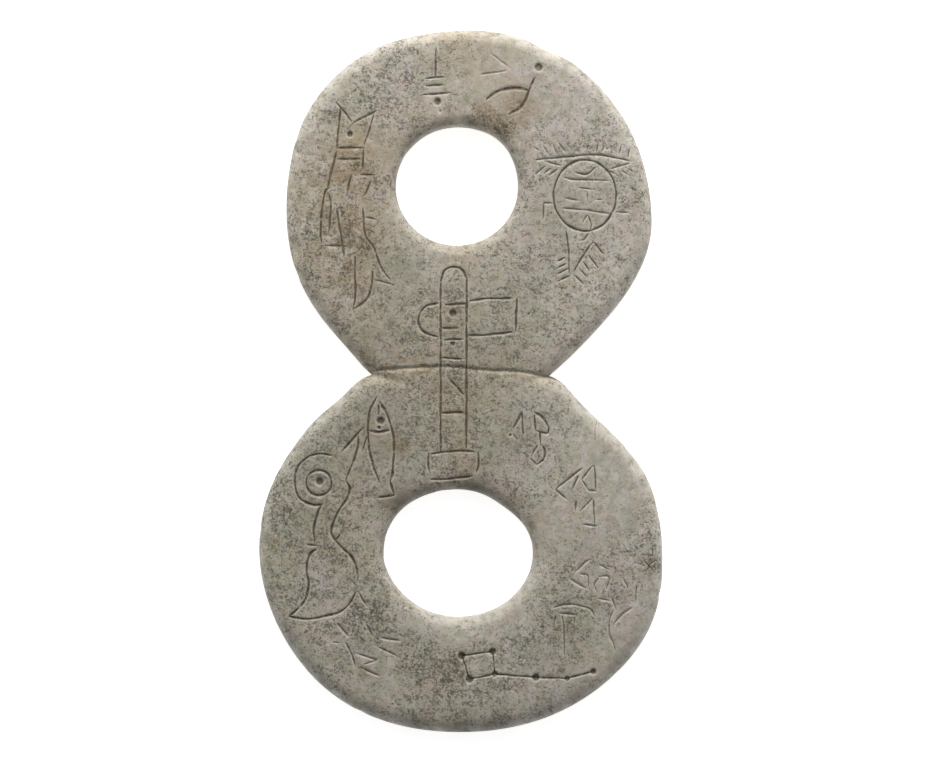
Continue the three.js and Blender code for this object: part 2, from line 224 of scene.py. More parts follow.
arrow = [[(9.1, 93), (14.1, 89.3)], [(6.1, 87.4), (13, 88.4)]]
bows = [
    [(7.6, 80.4), (9.8, 82.1), (13.1, 83.3), (16, 83.6), (19.7, 82.9)],
    [(21.1, 86.1), (19.7, 83), (18.6, 80.2), (16.7, 77.8), (14.3, 76.3)],
]
shell_brow = [
    [(21.6, 63.1), (26.8, 63.6), (36.4, 64.5), (41.6, 64.2), (48.2, 62.9)],
    [(23.8, 62.9), (28.6, 61.5)], [(48.2, 62.2), (42.5, 60.4)], [(21.2, 66.6), (22.3, 65.9)],
    [(23.8, 66.9), (25.2, 64.9)], [(26.6, 67.2), (27.9, 64.4)], [(27.9, 68.3), (30.1, 65.3)],
    [(39.2, 67.6), (38.8, 65.3)], [(41, 67.2), (40.2, 65.5)], [(45.7, 66.8), (45.3, 65.1)],
    [(48.2, 66.4), (47.6, 63.6)], [(21.6, 59.2), (24.2, 61.3)], [(23.8, 59.2), (25.7, 60.7)],
    [(25.5, 58.8), (27.4, 60.3)], [(42.5, 59.9), (44, 59.2)], [(45.8, 60.1), (47.6, 58.9)],
    [(47.9, 60.7), (49.2, 59.7)],
]
shell_inside = [
    [(29.5, 58.2), (32.9, 57.5), (42.1, 57.2)], [(33.2, 59.4), (36, 59.1), (38.4, 60.9)],
    [(33.9, 55.2), (37.7, 54.7)], [(36.2, 54), (36.2, 52)], [(30.3, 52.2), (33.4, 51.7)],
    [(38.4, 51.9), (40.3, 51.8)], [(29.2, 49.4), (32.9, 49.1), (37.3, 48.6), (42.5, 47.8)],
    [(36, 47.3), (34.9, 45.4)], [(36.4, 47.3), (37.3, 44.7), (36.8, 43)],
    [(23.5, 50.9), (26.2, 50.7)], [(23.8, 50.9), (23.6, 46)], [(44.3, 48.2), (47.7, 48.2)],
    [(34, 40.2), (35.3, 40.4), (36.4, 42.1)],
]
shell_tail = [
    [(30.1, 43), (30.8, 38), (31.1, 30.8)], [(37.5, 39.5), (35.5, 36.7), (32.3, 31.3)],
    [(27.9, 34.3), (29.8, 35.4)], [(27.5, 32.3), (30.1, 33.6)], [(27.9, 30.8), (30.8, 32.2)],
    [(27.9, 28.6), (31.2, 30.2)], [(38.2, 39.5), (40.8, 36.2)], [(36.6, 36), (39, 32.8)],
    [(35.1, 34.1), (36.8, 31.7)], [(33.8, 32.3), (35.8, 30.2)], [(32.7, 30.2), (34.9, 28)],
]
# Each sign's strokes, with their reach, their depth and how much earth they hold.
upper_signs = [
    (beast, 0.5, 0.34, 1.0), (barred_stem, 0.46, 0.4, 0.9), (arrow, 0.44, 0.42, 0.45),
    (bows, 0.66, 0.5, 1.0), (shell_brow, 0.5, 0.48, 0.65), (shell_inside, 0.5, 0.46, 0.65),
    (shell_tail, 0.5, 0.52, 0.75),
]
print(sum(len(sign[0]) for sign in upper_signs), "strokes on the upper disc")

# %% [markdown]
# A hafted axe runs down over the waist onto the lower disc, with a fish and a tall bird on
# its left.

# %% Axe, fish and bird
axe = [
    [(-5.5, 28.3), (-5.5, -20.2)], [(1.9, 29), (1.8, -18.8)],
    [(-5.5, 28.3), (-4.5, 31.6), (-1.7, 32.7), (0.6, 31.8), (2, 29)], [(-4.3, 21.9), (1.8, 22.3)],
    [(-5.7, 15.2), (-0.6, 15.3)], [(-4.3, 11.9), (0.9, 12.2)], [(-5.3, 6.8), (0.4, 6.6)],
    [(-5.5, -8.8), (1, -8.7)], [(-3.2, 1.1), (0.9, -3.5)],
    [(-6.2, 22.4), (-9.7, 21.5), (-11.6, 19.1), (-11.7, 16.5), (-10.2, 14.2), (-6.2, 12.8)],
    [(2.8, 23), (7, 23.6), (14.8, 23.8)], [(16.2, 23.6), (15.8, 14.9)],
    [(15.2, 14.2), (7.9, 13.4), (2, 13.2)],
    [(-8.3, -20.4), (-1.4, -19.7), (4.1, -19.7)], [(-8.9, -20.7), (-9, -24.3), (-8.6, -25.6)],
    [(-8.3, -27.7), (-3.7, -27.6), (3.4, -26.8)], [(5.2, -20), (5.2, -23.8), (4.7, -25.6)],
]
fish = [
    [(-23.8, -4.4), (-25.6, -8.4), (-26.2, -13.6), (-25.8, -18.8), (-24.7, -23.5), (-23.1, -28.2)],
    [(-22.5, -6.1), (-20.3, -10.3), (-18.9, -15.5), (-18.8, -19.7), (-19.2, -25.8), (-19.8, -28.2)],
    [(-23.1, -6.5), (-23.1, -9.1)], [(-25.9, -13.8), (-22.9, -14.2), (-20.2, -13.7)],
    [(-19.8, -28.4), (-18.6, -32.2)], [(-23.1, -32.8), (-18.6, -32.2)],
]
bird_head = [
    [(-27.6, -13.1), (-30.7, -16.4), (-33.7, -19.9)],
    [(-29, -15.5), (-29, -18.3), (-30.2, -22.3), (-32.5, -27.7)], [(-26.4, -15.5), (-27.8, -19.7)],
    [(-42.9, -21.1), (-39.8, -20.4), (-36.5, -20.9)],
    [(-42.9, -21.1), (-46, -23.9), (-46.9, -27.7), (-46.6, -31), (-45, -33.6), (-41.7, -34.9),
     (-39.1, -34.7)],
]
bird_body = [
    [(-32.3, -28.4), (-31.3, -30.3), (-32.3, -33.4), (-34.7, -37), (-36.1, -40.3), (-36.5, -43.4),
     (-33.2, -47.4), (-30.9, -49.5), (-29.5, -52.8), (-29, -55.9)],
    [(-29.7, -59.9), (-31.6, -63.2), (-34.7, -65.6), (-38.2, -66.5), (-42.9, -67.4), (-48.6, -66.7)],
    [(-39.3, -34.7), (-40.8, -38.2), (-41.6, -41.8), (-41.4, -44.6)], [(-43.4, -46.2), (-40.5, -46.5)],
    [(-40.8, -47.7), (-42.4, -48.6), (-43.4, -51), (-43.6, -54.3), (-43, -57.1), (-43.4, -60.1),
     (-44.8, -63.2), (-48.6, -66.5)], [(-35.3, -45.1), (-33.9, -43)],
]
bird_feet = [
    [(-28.5, -60.3), (-26.4, -63.8)], [(-34.9, -68.5), (-33.2, -70.6), (-31.6, -72.3)],
    [(-32.5, -74.1), (-30.7, -77.7), (-29.7, -81)], [(-26.6, -69), (-24.7, -72.3)],
    [(-29, -77.2), (-27.1, -77.9), (-23.8, -78.9)], [(-27.1, -80.3), (-23.8, -79.1)],
    [(-27.4, -81.5), (-22.9, -83.6)], [(-22.2, -72.8), (-17.2, -73.5)],
    [(-22.8, -75.5), (-18.2, -77.8)], [(-36.1, -74), (-34.2, -74.2)],
]
bird = bird_head + bird_body + bird_feet
print(len(axe), "strokes in the axe,", len(fish), "in the fish and", len(bird), "in the bird")

# %% [markdown]
# The small signs stand in a column on the right. At the foot, pits are joined by strokes,
# and a few hairline cracks show on the right.

# %% Small signs, cracks and pits
small_signs_high = [
    [(17.7, -8.3), (15.2, -13)], [(17.7, -8.5), (17.9, -14.8)], [(15.1, -14.8), (16.2, -16.3)],
    [(21.2, -8.5), (23.5, -10.1), (25.2, -12.7)], [(21.2, -9.3), (21.5, -13.8)],
    [(21.5, -13.8), (24.8, -14.6), (25.3, -13)], [(22.7, -14.3), (22.9, -17.7)],
    [(21.9, -18), (20.3, -21.1)], [(20.3, -21.9), (21.9, -23.5)],
    [(23.5, -18.3), (24.1, -19.6), (23.7, -21.9), (22, -23.5)],
]
small_signs_middle = [
    [(34.5, -24.6), (27.1, -30.6)], [(27.1, -30.6), (30.3, -33.2)], [(33.7, -26.7), (31.9, -30.3)],
    [(37.6, -23.9), (34.6, -27.7)], [(34.6, -27.7), (36.6, -30.7)], [(36.6, -30.7), (38.9, -31)],
    [(38.2, -24), (38.7, -31)], [(37.6, -33.2), (34.5, -36.4)], [(37.9, -33.5), (38.3, -40.6)],
    [(35.1, -40.5), (38.6, -40.9)], [(33, -33.8), (32.8, -36.4)],
]
small_signs_low = [
    [(36.8, -50.5), (35.3, -51.4), (33.2, -53.7)], [(34.1, -54.6), (36.4, -55.1), (36.6, -58.2)],
    [(31.4, -56), (35.5, -58.5)], [(39.8, -52.1), (42.3, -53.3)],
    [(39.5, -55.3), (42.3, -55.4), (41.7, -58.5)], [(39.5, -55.8), (38.2, -57.6), (38.9, -59.6)],
    [(39.5, -61.6), (42.7, -62.1)], [(46.4, -55.8), (47.7, -58.5)], [(50.2, -57.6), (50, -62.6)],
    [(26.6, -64.1), (30.5, -63.2), (34.3, -63.7), (37.1, -64.6), (38.4, -66.6)],
    [(28.2, -65.7), (32.5, -66.1)], [(27.1, -66.4), (26.9, -68.7)],
    [(29, -66.4), (29.6, -69.8), (29.6, -77.7)], [(32.6, -66.6), (32.4, -68.7)],
    [(48.9, -64.1), (45.7, -66.4), (43.6, -68.9)],
    [(43.4, -65.3), (42.5, -68), (42.5, -71.6), (43.6, -74.3), (44.1, -76.1)],
    [(43.2, -61.6), (44.5, -64.8)],
]
cracks = [
    [(39.1, -11), (38.5, -13.2), (38.4, -16.2)], [(51.6, -49.8), (53.4, -52), (55.6, -54.2)],
    [(53, -53.6), (54.4, -51.6), (56.2, -50.6)], [(49.8, -51.4), (52.4, -52.2)],
]
pit_chain = [
    [(0.5, -77.8), (9.3, -76.6)], [(0.5, -77.8), (2.7, -84.5)], [(9.3, -76.6), (9.9, -83)],
    [(2.7, -84.5), (9.9, -83)], [(9.9, -83), (21.6, -84)], [(21.6, -84), (30.5, -84.3)],
    [(30.5, -84.3), (37.9, -82.3)],
]
lower_signs = [
    (axe, 0.54, 0.48, 1.0), (fish, 0.6, 0.58, 1.0), (bird_head, 0.52, 0.54, 0.95),
    (bird_body, 0.55, 0.58, 0.95), (bird_feet, 0.52, 0.54, 0.65), (small_signs_high, 0.62, 0.42, 0.8),
    (small_signs_middle, 0.5, 0.5, 0.7), (small_signs_low, 0.56, 0.5, 0.6), (pit_chain, 0.48, 0.5, 0.85),
    (cracks, 0.3, 0.22, 0.8),
]

# The shell and the bird's eye, as ovals: x, y, half the width, half the height
rings = [(35.5, 53, 8.9, 10.1), (-40.1, -28.7, 3.6, 3.6)]
ring_cut = (0.54, 0.56, 0.85)

# Drilled pits: x, y, reach
drilled_pits = [
    (-31.3, 70.5, 1.1), (-6.4, 79.7, 1.3), (22.4, 89.5, 1.45), (-2, 19.5, 1.4), (-2.1, 10.9, 0.9),
    (-22.6, -11, 1.45), (-23, -13, 0.7), (-39.9, -28.2, 1.4), (0.5, -77.8, 1.4), (9.3, -76.6, 1.3),
    (2.7, -84.5, 1.4), (9.9, -83, 1.1), (21.6, -84, 1.3), (30.5, -84.3, 0.9), (37.9, -82.3, 1.1),
    (14.3, -15.1, 0.5), (-5.6, 77.1, 0.4), (41.8, 66.3, 0.4),
]
waist_line = [
    (-29, 1.2), (-25.9, 3.1), (-13.1, 4), (-5.7, 4.4), (-1.4, 4.15), (8.5, 3.3), (16.5, 2.95),
    (23, 2), (28.5, 0.6),
]
waist_reach, waist_depth = 0.95, 0.62
lower_count = sum(len(sign[0]) for sign in lower_signs)
print(lower_count, "strokes lower down and", len(drilled_pits), "drilled pits")

# %% [markdown]
# ## Paths of the cuts
# A cut needs a path, and at each place on it a reach, which is half its width, and a depth.
# The hand that cut it wandered a little and pressed less at both ends. A fixed seed gives
# the same wandering each time.

# %% Paths with a reach and a depth
stroke_step = 0.4
steps_a_span = 12
long_wave, short_wave = 2.3, 0.9
pressure_waves = ((0.16, 1.7), (0.1, 0.6))
rng = np.random.default_rng(7)


def through(places, step):
    """Evenly spaced places along a soft curve through the given ones."""
    p = np.array(places, float)
    if len(p) > 2:
        ends = np.vstack([2 * p[0] - p[1], p, 2 * p[-1] - p[-2]])
        t = np.linspace(0, 1, steps_a_span, endpoint=False)[:, None]
        spans = [
            0.5 * (2 * b + (c - a) * t + (2 * a - 5 * b + 4 * c - d) * t ** 2
                   + (3 * b - a - 3 * c + d) * t ** 3)
            for a, b, c, d in zip(ends, ends[1:], ends[2:], ends[3:])
        ]
        p = np.vstack([*spans, p[-1:]])
    run = np.concatenate([[0], np.cumsum(np.hypot(*np.diff(p, axis=0).T))])
    at = np.linspace(0, run[-1], max(4, round(run[-1] / step) + 1))
    return np.column_stack([np.interp(at, run, p[:, 0]), np.interp(at, run, p[:, 1])])


def sideways(path):
    """Unit vectors across a path."""
    along = np.gradient(path, axis=0)
    along /= np.hypot(*along.T)[:, None]
    return np.column_stack([-along[:, 1], along[:, 0]])


def hand_cut(places, reach, depth, earth=1.0, wander=0.07, fade=1.3, closed=False):
    """A path as a hand cuts it: wandering, uneven, and shallow at its ends."""
    path = through(places, stroke_step)
    run = np.arange(len(path)) * stroke_step
    waves = sum(np.sin(run / size + rng.uniform(0, turn)) for size in (short_wave, long_wave)) / 2
    path = path + sideways(path) * (wander * waves)[:, None]
    uneven = 1 + sum(share * np.sin(run / size + rng.uniform(0, turn)) for share, size in pressure_waves)
    to_end = np.minimum(run, run[-1] - run)
    ends = np.ones(len(run)) if closed else 0.45 + 0.55 * np.clip(to_end / fade, 0, 1) ** 0.7
    pressure = rng.uniform(0.85, 1.15)
    return dict(path=path, reach=reach * uneven * ends ** 0.6 * pressure ** 0.5,
                depth=depth * uneven * ends * pressure, earth=np.full(len(path), earth))


def ring_places(x, y, half_width, half_height):
    """Places round an oval, back to the first one."""
    angles = np.linspace(0, turn, 33)
    return np.column_stack([x + half_width * np.cos(angles), y + half_height * np.sin(angles)])


cuts = [hand_cut(stroke, *settings) for strokes, *settings in upper_signs + lower_signs
        for stroke in strokes]
cuts += [hand_cut(ring_places(*ring), *ring_cut, closed=True) for ring in rings]
waist_cut = hand_cut(waist_line, waist_reach, waist_depth, wander=0.1, fade=0.1)
print(len(cuts), "cuts,", round(sum(len(c["path"]) for c in cuts) * stroke_step), "mm in all")

# %% [markdown]
# ## Small pocks
# Weather and burial left hundreds of pocks a millimetre wide or less, most of them low down
# and at the left. They are placed at random from a fixed seed and kept apart from the edge.

# %% Pocks
pock_count, pock_reaches, pock_lean = 620, (0.28, 0.75), 0.5
back_pock_count, back_pock_reaches = 160, (0.5, 1.1)
clear_of_edge = 0.9
few_large = 2.5


def scattered(count, low_reach, high_reach, lean):
    """Random places on the slab with a reach each; lean is how much they gather low and left."""
    kept = []
    low, high = rim_loop.min(0), rim_loop.max(0)
    while len(kept) < count:
        place = rng.uniform(low, high)
        gather = 0.5 + 0.5 * (place - low) / (high - low) @ np.array([-lean, -lean]) + lean / 2
        from_rim, from_bore = edge_ways(place[None])
        clear = min(from_rim[0], from_bore[0]) > clear_of_edge
        if clear and rng.uniform() < gather:
            kept.append((*place, low_reach + (high_reach - low_reach) * rng.uniform() ** few_large))
    return np.array(kept)


pocks = scattered(pock_count, *pock_reaches, pock_lean)
back_pocks = scattered(back_pock_count, *back_pock_reaches, 0.0)
print(len(pocks), "pocks on the face,", len(back_pocks), "on the back")

# %% [markdown]
# ## Where the mesh needs its points
# An even grid that is fine enough for a half-millimetre stroke would take millions of faces.
# Here rows of points run along each cut, rings stand round each pit and along each worn
# edge, and a coarse grid fills the rest. A sieve drops any point too near an earlier one.

# %% Points of the face and of the back
edge_turns = np.radians([12, 24, 36, 48, 60, 75, 90])
wobble = 0.16

# Rows and rings: shares of a reach at which they stand, and the gap that they keep
cut_rows, cut_gap = (0, 0.42, -0.42, 0.95, -0.95, 1.6, -1.6), 0.14
pit_rings, pit_sides, pit_gap = (0.4, 0.75, 1.0, 1.35), 14, 0.12
waist_rows, waist_gap = (0, 0.3, -0.3, 0.62, -0.62, 0.95, -0.95, 1.3, -1.3), 0.2
pock_rings, pock_sides, pock_gap = (0.95,), 6, 0.2
back_waist_rows, back_pock_rings, back_gap = (0, 0.4, -0.4, 0.9, -0.9), (0.9,), 0.35


class Sieve:
    """Keeps places that stand far enough from those kept before."""

    cell = 1.0

    def __init__(self, margin):
        self.kept, self.cells, self.margin = [], {}, margin

    def add(self, places, gap):
        """Takes in the places that stand at least that far from the kept ones."""
        places = np.asarray(places, float)
        from_rim, from_bore = edge_ways(places)
        for x, y in places[(from_rim > self.margin) & (from_bore > self.margin)]:
            column, line = int(x // self.cell), int(y // self.cell)
            near = (place for i in (-1, 0, 1) for j in (-1, 0, 1)
                    for place in self.cells.get((column + i, line + j), ()))
            if all((x - u) ** 2 + (y - v) ** 2 >= gap * gap for u, v in near):
                self.cells.setdefault((column, line), []).append((x, y))
                self.kept.append((x, y))


def edge_rings(rim, bore, every=1):
    """Places at a few ways in from the outlines and out from the bores."""
    found = []
    for share in 1 - np.cos(edge_turns):
        for (oval, middle), angles in zip(discs, (upper_walk, lower_walk)):
            found.append(oval_place(oval, middle, angles[::every], rim * share))
        for (oval, middle), angles in zip(bores, bore_walks):
            found.append(oval_place(oval, middle, angles[::every], -bore * share))
    return found


def rows_beside(cut, shares):
    """Rows of places along a cut, at shares of its reach to either side."""
    across = sideways(cut["path"]) * cut["reach"][:, None]
    return [cut["path"] + share * across for share in shares]


def round_places(x, y, reach, shares, count):
    """A place and rings round it, at shares of its reach."""
    angles = np.linspace(0, turn, count, endpoint=False)
    circle = np.column_stack([np.cos(angles), np.sin(angles)])
    return np.vstack([[(x, y)], *[(x, y) + share * reach * circle for share in shares]])


def even_grid(step):
    """A grid of triangles with a little wobble, over the slab's box."""
    low, high = rim_loop.min(0), rim_loop.max(0)
    rows = np.arange(low[1], high[1], step * 0.866)
    columns = np.arange(low[0], high[0], step)
    grid = [(x + (i % 2) * step / 2, y) for i, y in enumerate(rows) for x in columns]
    return np.array(grid) + rng.uniform(-wobble, wobble, (len(grid), 2)) * step


print(len(edge_rings(rim_run, bore_run)), "rings of places along the worn edges")

# %% [markdown]
# The finest points go in first: the worn edges, then the strokes, the pits, the waist and
# the pocks. The coarse grid comes last, and only fills what is left.

# %% Filling the face and the back
face_margin, face_edge_gap, face_grid, face_grid_gap = 0.07, 0.05, 0.78, 0.5
back_margin, back_edge_gap, back_grid, back_grid_gap = 0.1, 0.3, 1.5, 0.9

face_points = Sieve(face_margin)
for ring in edge_rings(rim_run, bore_run):
    face_points.add(ring, face_edge_gap)
for share in cut_rows:
    for cut in cuts:
        face_points.add(rows_beside(cut, (share,))[0], cut_gap)
for pit in drilled_pits:
    face_points.add(round_places(*pit, pit_rings, pit_sides), pit_gap)
for row in rows_beside(waist_cut, waist_rows):
    face_points.add(row, waist_gap)
for pock in pocks:
    face_points.add(round_places(*pock, pock_rings, pock_sides), pock_gap)
face_points.add(even_grid(face_grid), face_grid_gap)

back_points = Sieve(back_margin)
for ring in edge_rings(back_run, back_run, every=2)[::2]:
    back_points.add(ring, back_edge_gap)
for row in rows_beside(waist_cut, back_waist_rows):
    back_points.add(row, back_gap)
for pock in back_pocks:
    back_points.add(round_places(*pock, back_pock_rings, pock_sides), back_gap)
back_points.add(even_grid(back_grid), back_grid_gap)
print(len(face_points.kept), "points in the face and", len(back_points.kept), "in the back")

# %% [markdown]
# ## The blank
# The blank is the slab before weather and carving: a face and a back, each a net of
# triangles over the same outline and bores, and walls between them. Its height at a place
# follows the worn edge, a quarter of an ellipse, from the rim and from the bores.

# %% Heights of the blank
outside_drop = 99.0
just_outside = -1e-6


def worn_drop(way, run, drop):
    """How far a worn edge lies below the flat, that far in from the edge."""
    inside = 1 - np.clip(way / run, 0, 1)
    return drop * (1 - np.sqrt(np.maximum(0, 1 - inside ** 2)))


def soft_fall(way, run, fall):
    """How far the ground face sinks towards an edge, over a wider run than the worn edge's."""
    return fall * (1 - np.clip(way / run, 0, 1)) ** 2


def edge_drop(places, rim, rim_fall, bore, bore_fall, softness=1.0):
    """Drop of the worn edges all round a side of the joined slab."""
    drops = []
    for oval, middle in discs:
        way = way_in(oval, middle, places)
        drop = worn_drop(way, rim, rim_fall) + softness * soft_fall(way, *rim_soft)
        drops.append(np.where(way > just_outside, drop, outside_drop))
    total = np.minimum(*drops)
    for (oval, middle), soft in zip(bores, bore_softs):
        way = -way_in(oval, middle, places)
        total = total + worn_drop(way, bore, bore_fall) + softness * soft_fall(way, *soft)
    return total


print("at the rim the face drops", worn_drop(0, rim_run, rim_drop) + soft_fall(0, *rim_soft), "mm")

# %% [markdown]
# The net over the outline is a Delaunay triangulation that must keep the outline's edges.
# Only triangles between border places can lie outside, so only those are tested. The face,
# the walls and the back share their border places, which closes every seam.

# %% Nets and walls
wall_heights = (7.6, 6.1, 4.5)
same_place = 1e-6


def inside_loops(places):
    """True where a place is inside the outline and outside the bores, by counting crossings."""
    odd = np.zeros(len(places), bool)
    x, y = places[:, :1], places[:, 1:]
    for loop in loops:
        (x0, y0), (x1, y1) = loop.T, np.roll(loop, -1, axis=0).T
        spans = (y0 > y) != (y1 > y)
        level = np.where(y1 == y0, 1.0, y1 - y0)
        odd ^= (spans & (x < x0 + (y - y0) / level * (x1 - x0))).sum(1) % 2 == 1
    return odd


def net(points):
    """Triangles over the slab's outline, with the loops' own places first."""
    border = np.vstack(loops)
    starts = np.cumsum([0] + [len(loop) for loop in loops])
    edges = [(a + i, a + (i + 1) % (b - a))
             for a, b in zip(starts, starts[1:]) for i in range(b - a)]
    given = np.vstack([border, points])
    places = [tuple(p) for p in given]
    _, _, triangles, sources, *_ = delaunay_2d_cdt(places, edges, [], 0, same_place)
    back_to = np.array([s[0] for s in sources])
    triangles = back_to[np.array(triangles)]
    on_border = (triangles < len(border)).all(1)
    centres = given[triangles[on_border]].mean(1)
    keep = np.ones(len(triangles), bool)
    keep[on_border] = inside_loops(centres)
    return given, triangles[keep], edges


def slab_parts():
    """Places, faces, and the side of each place: 1 the face, 0 a wall, -1 the back."""
    face, face_triangles, edges = net(face_points.kept)
    back, back_triangles, _ = net(back_points.kept)
    border = np.vstack(loops)
    face_z = thickness - edge_drop(face, rim_run, rim_drop, bore_run, bore_drop)
    back_z = edge_drop(back, back_run, back_drop, back_run, back_drop, softness=0.0)
    stacks = [np.column_stack([face, face_z])]
    stacks += [np.column_stack([border, np.full(len(border), z)]) for z in wall_heights]
    stacks.append(np.column_stack([back, back_z]))
    starts = np.cumsum([0, len(face)] + [len(border)] * len(wall_heights))
    faces = [tuple(t) for t in face_triangles]
    faces += [tuple(t[::-1] + starts[-1]) for t in back_triangles]
    for above, below in zip(starts, starts[1:]):
        faces += [(below + i, below + j, above + j, above + i) for i, j in edges]
    walls = len(border) * len(wall_heights)
    side = np.concatenate([np.ones(len(face)), np.zeros(walls), -np.ones(len(back))])
    return np.vstack(stacks), faces, side


slab_places, slab_faces, slab_side = slab_parts()
print("blank:", len(slab_places), "places and", len(slab_faces), "faces")

# %% [markdown]
# The slab goes into the frame as one closed mesh. Each of its points stores which side it is
# on and how worn it is, because the trees and the stone read both by name.

# %% Slab in the frame
rim_worn_reach, bore_worn_reach = 5.5, 4.5


def attach(mesh, name, values):
    """A value for each point of a mesh, that modifiers and materials can read by name."""
    stored_values = mesh.attributes.new(name, "FLOAT", "POINT").data
    stored_values.foreach_set("value", np.asarray(values, np.float32))


def mesh_object(name, places, edges, faces):
    """A new mesh object in the scene."""
    mesh = bpy.data.meshes.new(name)
    mesh.from_pydata(places.tolist(), edges, faces)
    made = bpy.data.objects.new(name, mesh)
    bpy.context.scene.collection.objects.link(made)
    return made


from_rim, from_bore = edge_ways(slab_places[:, :2])
in_frame = (slab_places + [*shift, 0]) * MM
slab = mesh_object("carved_slab", in_frame, [], slab_faces)
attach(slab.data, "side", slab_side)
worn_share = 1 - np.minimum(from_rim / rim_worn_reach, from_bore / bore_worn_reach)
attach(slab.data, "rim", np.clip(worn_share, 0, 1))
slab.data.validate()
slab.data.shade_smooth()
print(slab.name, len(slab.data.vertices), "points,", len(slab.data.polygons), "faces")

# %% [markdown]
# ## A helper for node trees
# Geometry Nodes and materials are both trees of nodes. One short helper adds a node, sets
# it up, and feeds its sockets with a value or with another node's output.

# %% Node helper


def put(tree, kind, *values, setup=None, **named):
    """A new node; values feed its sockets in order, and named ones by name."""
    made = tree.nodes.new(kind)
    for key, value in (setup or {}).items():
        setattr(made, key, value)
    pairs = [(made.inputs[i], v) for i, v in enumerate(values)]
    pairs += [(made.inputs[key.replace("_", " ")], v) for key, v in named.items()]
    for socket, value in pairs:
        if isinstance(value, bpy.types.NodeSocket):
            tree.links.new(value, socket)
        elif value is not None:
            socket.default_value = value
    return made


def calc(tree, operation, *values):
    """The result of one Math node."""
    return put(tree, "ShaderNodeMath", *values, setup=dict(operation=operation)).outputs[0]


def vector(tree, operation, *values):
    """The result of one Vector Math node."""
    return put(tree, "ShaderNodeVectorMath", *values, setup=dict(operation=operation)).outputs[0]


def ramp_between(tree, value, low, high, to_low=0.0, to_high=1.0):
    """A smooth step of a value between two limits."""
    setup = dict(interpolation_type="SMOOTHSTEP")
    return put(tree, "ShaderNodeMapRange", value, low, high, to_low, to_high, setup=setup).outputs[0]


def new_tree(name, sockets):
    """A Geometry Nodes tree with named inputs, and the identifier of each."""
    tree = bpy.data.node_groups.new(name, "GeometryNodeTree")
    tree.interface.new_socket(name="Geometry", in_out="INPUT", socket_type="NodeSocketGeometry")
    tree.interface.new_socket(name="Geometry", in_out="OUTPUT", socket_type="NodeSocketGeometry")
    keys = {}
    for label, kind in sockets:
        socket = tree.interface.new_socket(name=label, in_out="INPUT", socket_type="NodeSocket" + kind)
        keys[label] = socket.identifier
    return tree, keys


def end_tree(tree, geometry, material):
    """The tree's end: real geometry with the stone set on it."""
    real = put(tree, "GeometryNodeRealizeInstances", geometry)
    finished = put(tree, "GeometryNodeSetMaterial", real.outputs[0], Material=material)
    put(tree, "NodeGroupOutput", finished.outputs[0])


def add_modifier(obj, name, tree, keys, **inputs):
    """A Geometry Nodes modifier with its inputs set by identifier."""
    modifier = obj.modifiers.new(name, "NODES")
    modifier.node_group = tree
    for label, value in inputs.items():
        modifier[keys[label.replace("_", " ")]] = value


# %% [markdown]
# ## Weathering
# Ground and worn stone is never flat: it swells gently over centimetres, is finely pecked,
# and has lost small chips along its edges. The tree moves each point inwards along its
# normal by two noises and by dents that only the worn edges get, so nothing grows outwards.

# %% Weathering tree
stone = bpy.data.materials.new("weathered_stone")
weather, weather_keys = new_tree("weather_stone", [
    ("Swell", "Float"), ("Swell size", "Float"), ("Pecking", "Float"), ("Pecking size", "Float"),
    ("Chip", "Float"), ("Chip size", "Float"), ("Seed", "Float"), ("Stone", "Material")])
given = put(weather, "NodeGroupInput").outputs
place = put(weather, "GeometryNodeInputPosition").outputs[0]
seed_shift = put(weather, "ShaderNodeCombineXYZ", given["Seed"], given["Seed"]).outputs[0]
moved = vector(weather, "ADD", place, seed_shift)


def weather_noise(size, detail):
    """A noise of the weathering tree, with blobs of that size."""
    scale = calc(weather, "DIVIDE", 1.0, size)
    return put(weather, "ShaderNodeTexNoise", Vector=moved, Scale=scale, Detail=detail,
               Roughness=0.55).outputs[0]


swell = calc(weather, "MULTIPLY", weather_noise(given["Swell size"], 2.0), given["Swell"])
pecking = calc(weather, "MULTIPLY", weather_noise(given["Pecking size"], 3.0), given["Pecking"])
chip_scale = calc(weather, "DIVIDE", 1.0, given["Chip size"])
cells = put(weather, "ShaderNodeTexVoronoi", Vector=moved, Scale=chip_scale)
chosen = put(weather, "ShaderNodeSeparateXYZ", cells.outputs["Color"]).outputs[0]
dent = ramp_between(weather, cells.outputs["Distance"], 0.5, 0.15)
rim_share = put(weather, "GeometryNodeInputNamedAttribute", Name="rim").outputs[0]
dent = calc(weather, "MULTIPLY", dent, ramp_between(weather, chosen, 0.66, 0.8))
dent = calc(weather, "MULTIPLY", dent, ramp_between(weather, rim_share, 0.3, 0.75))
chips = calc(weather, "MULTIPLY", dent, given["Chip"])
calm = ramp_between(weather, rim_share, 0.55, 1.0, 1.0, 0.25)
waves = calc(weather, "MULTIPLY", calc(weather, "ADD", swell, pecking), calm)
inwards = calc(weather, "MULTIPLY", calc(weather, "ADD", waves, chips), -1.0)
step = vector(weather, "SCALE", put(weather, "GeometryNodeInputNormal").outputs[0])
step.node.inputs["Scale"].default_value = 1.0
weather.links.new(inwards, step.node.inputs["Scale"])
worn = put(weather, "GeometryNodeSetPosition", given["Geometry"], Offset=step)
end_tree(weather, worn.outputs[0], given["Stone"])
add_modifier(slab, "weather", weather, weather_keys, Swell=0.00045, Swell_size=0.02, Pecking=0.0002,
             Pecking_size=0.0032, Chip=0.00045, Chip_size=0.006, Seed=0.37, Stone=stone)
print("tree", weather.name, "with", len(weather.nodes), "nodes")

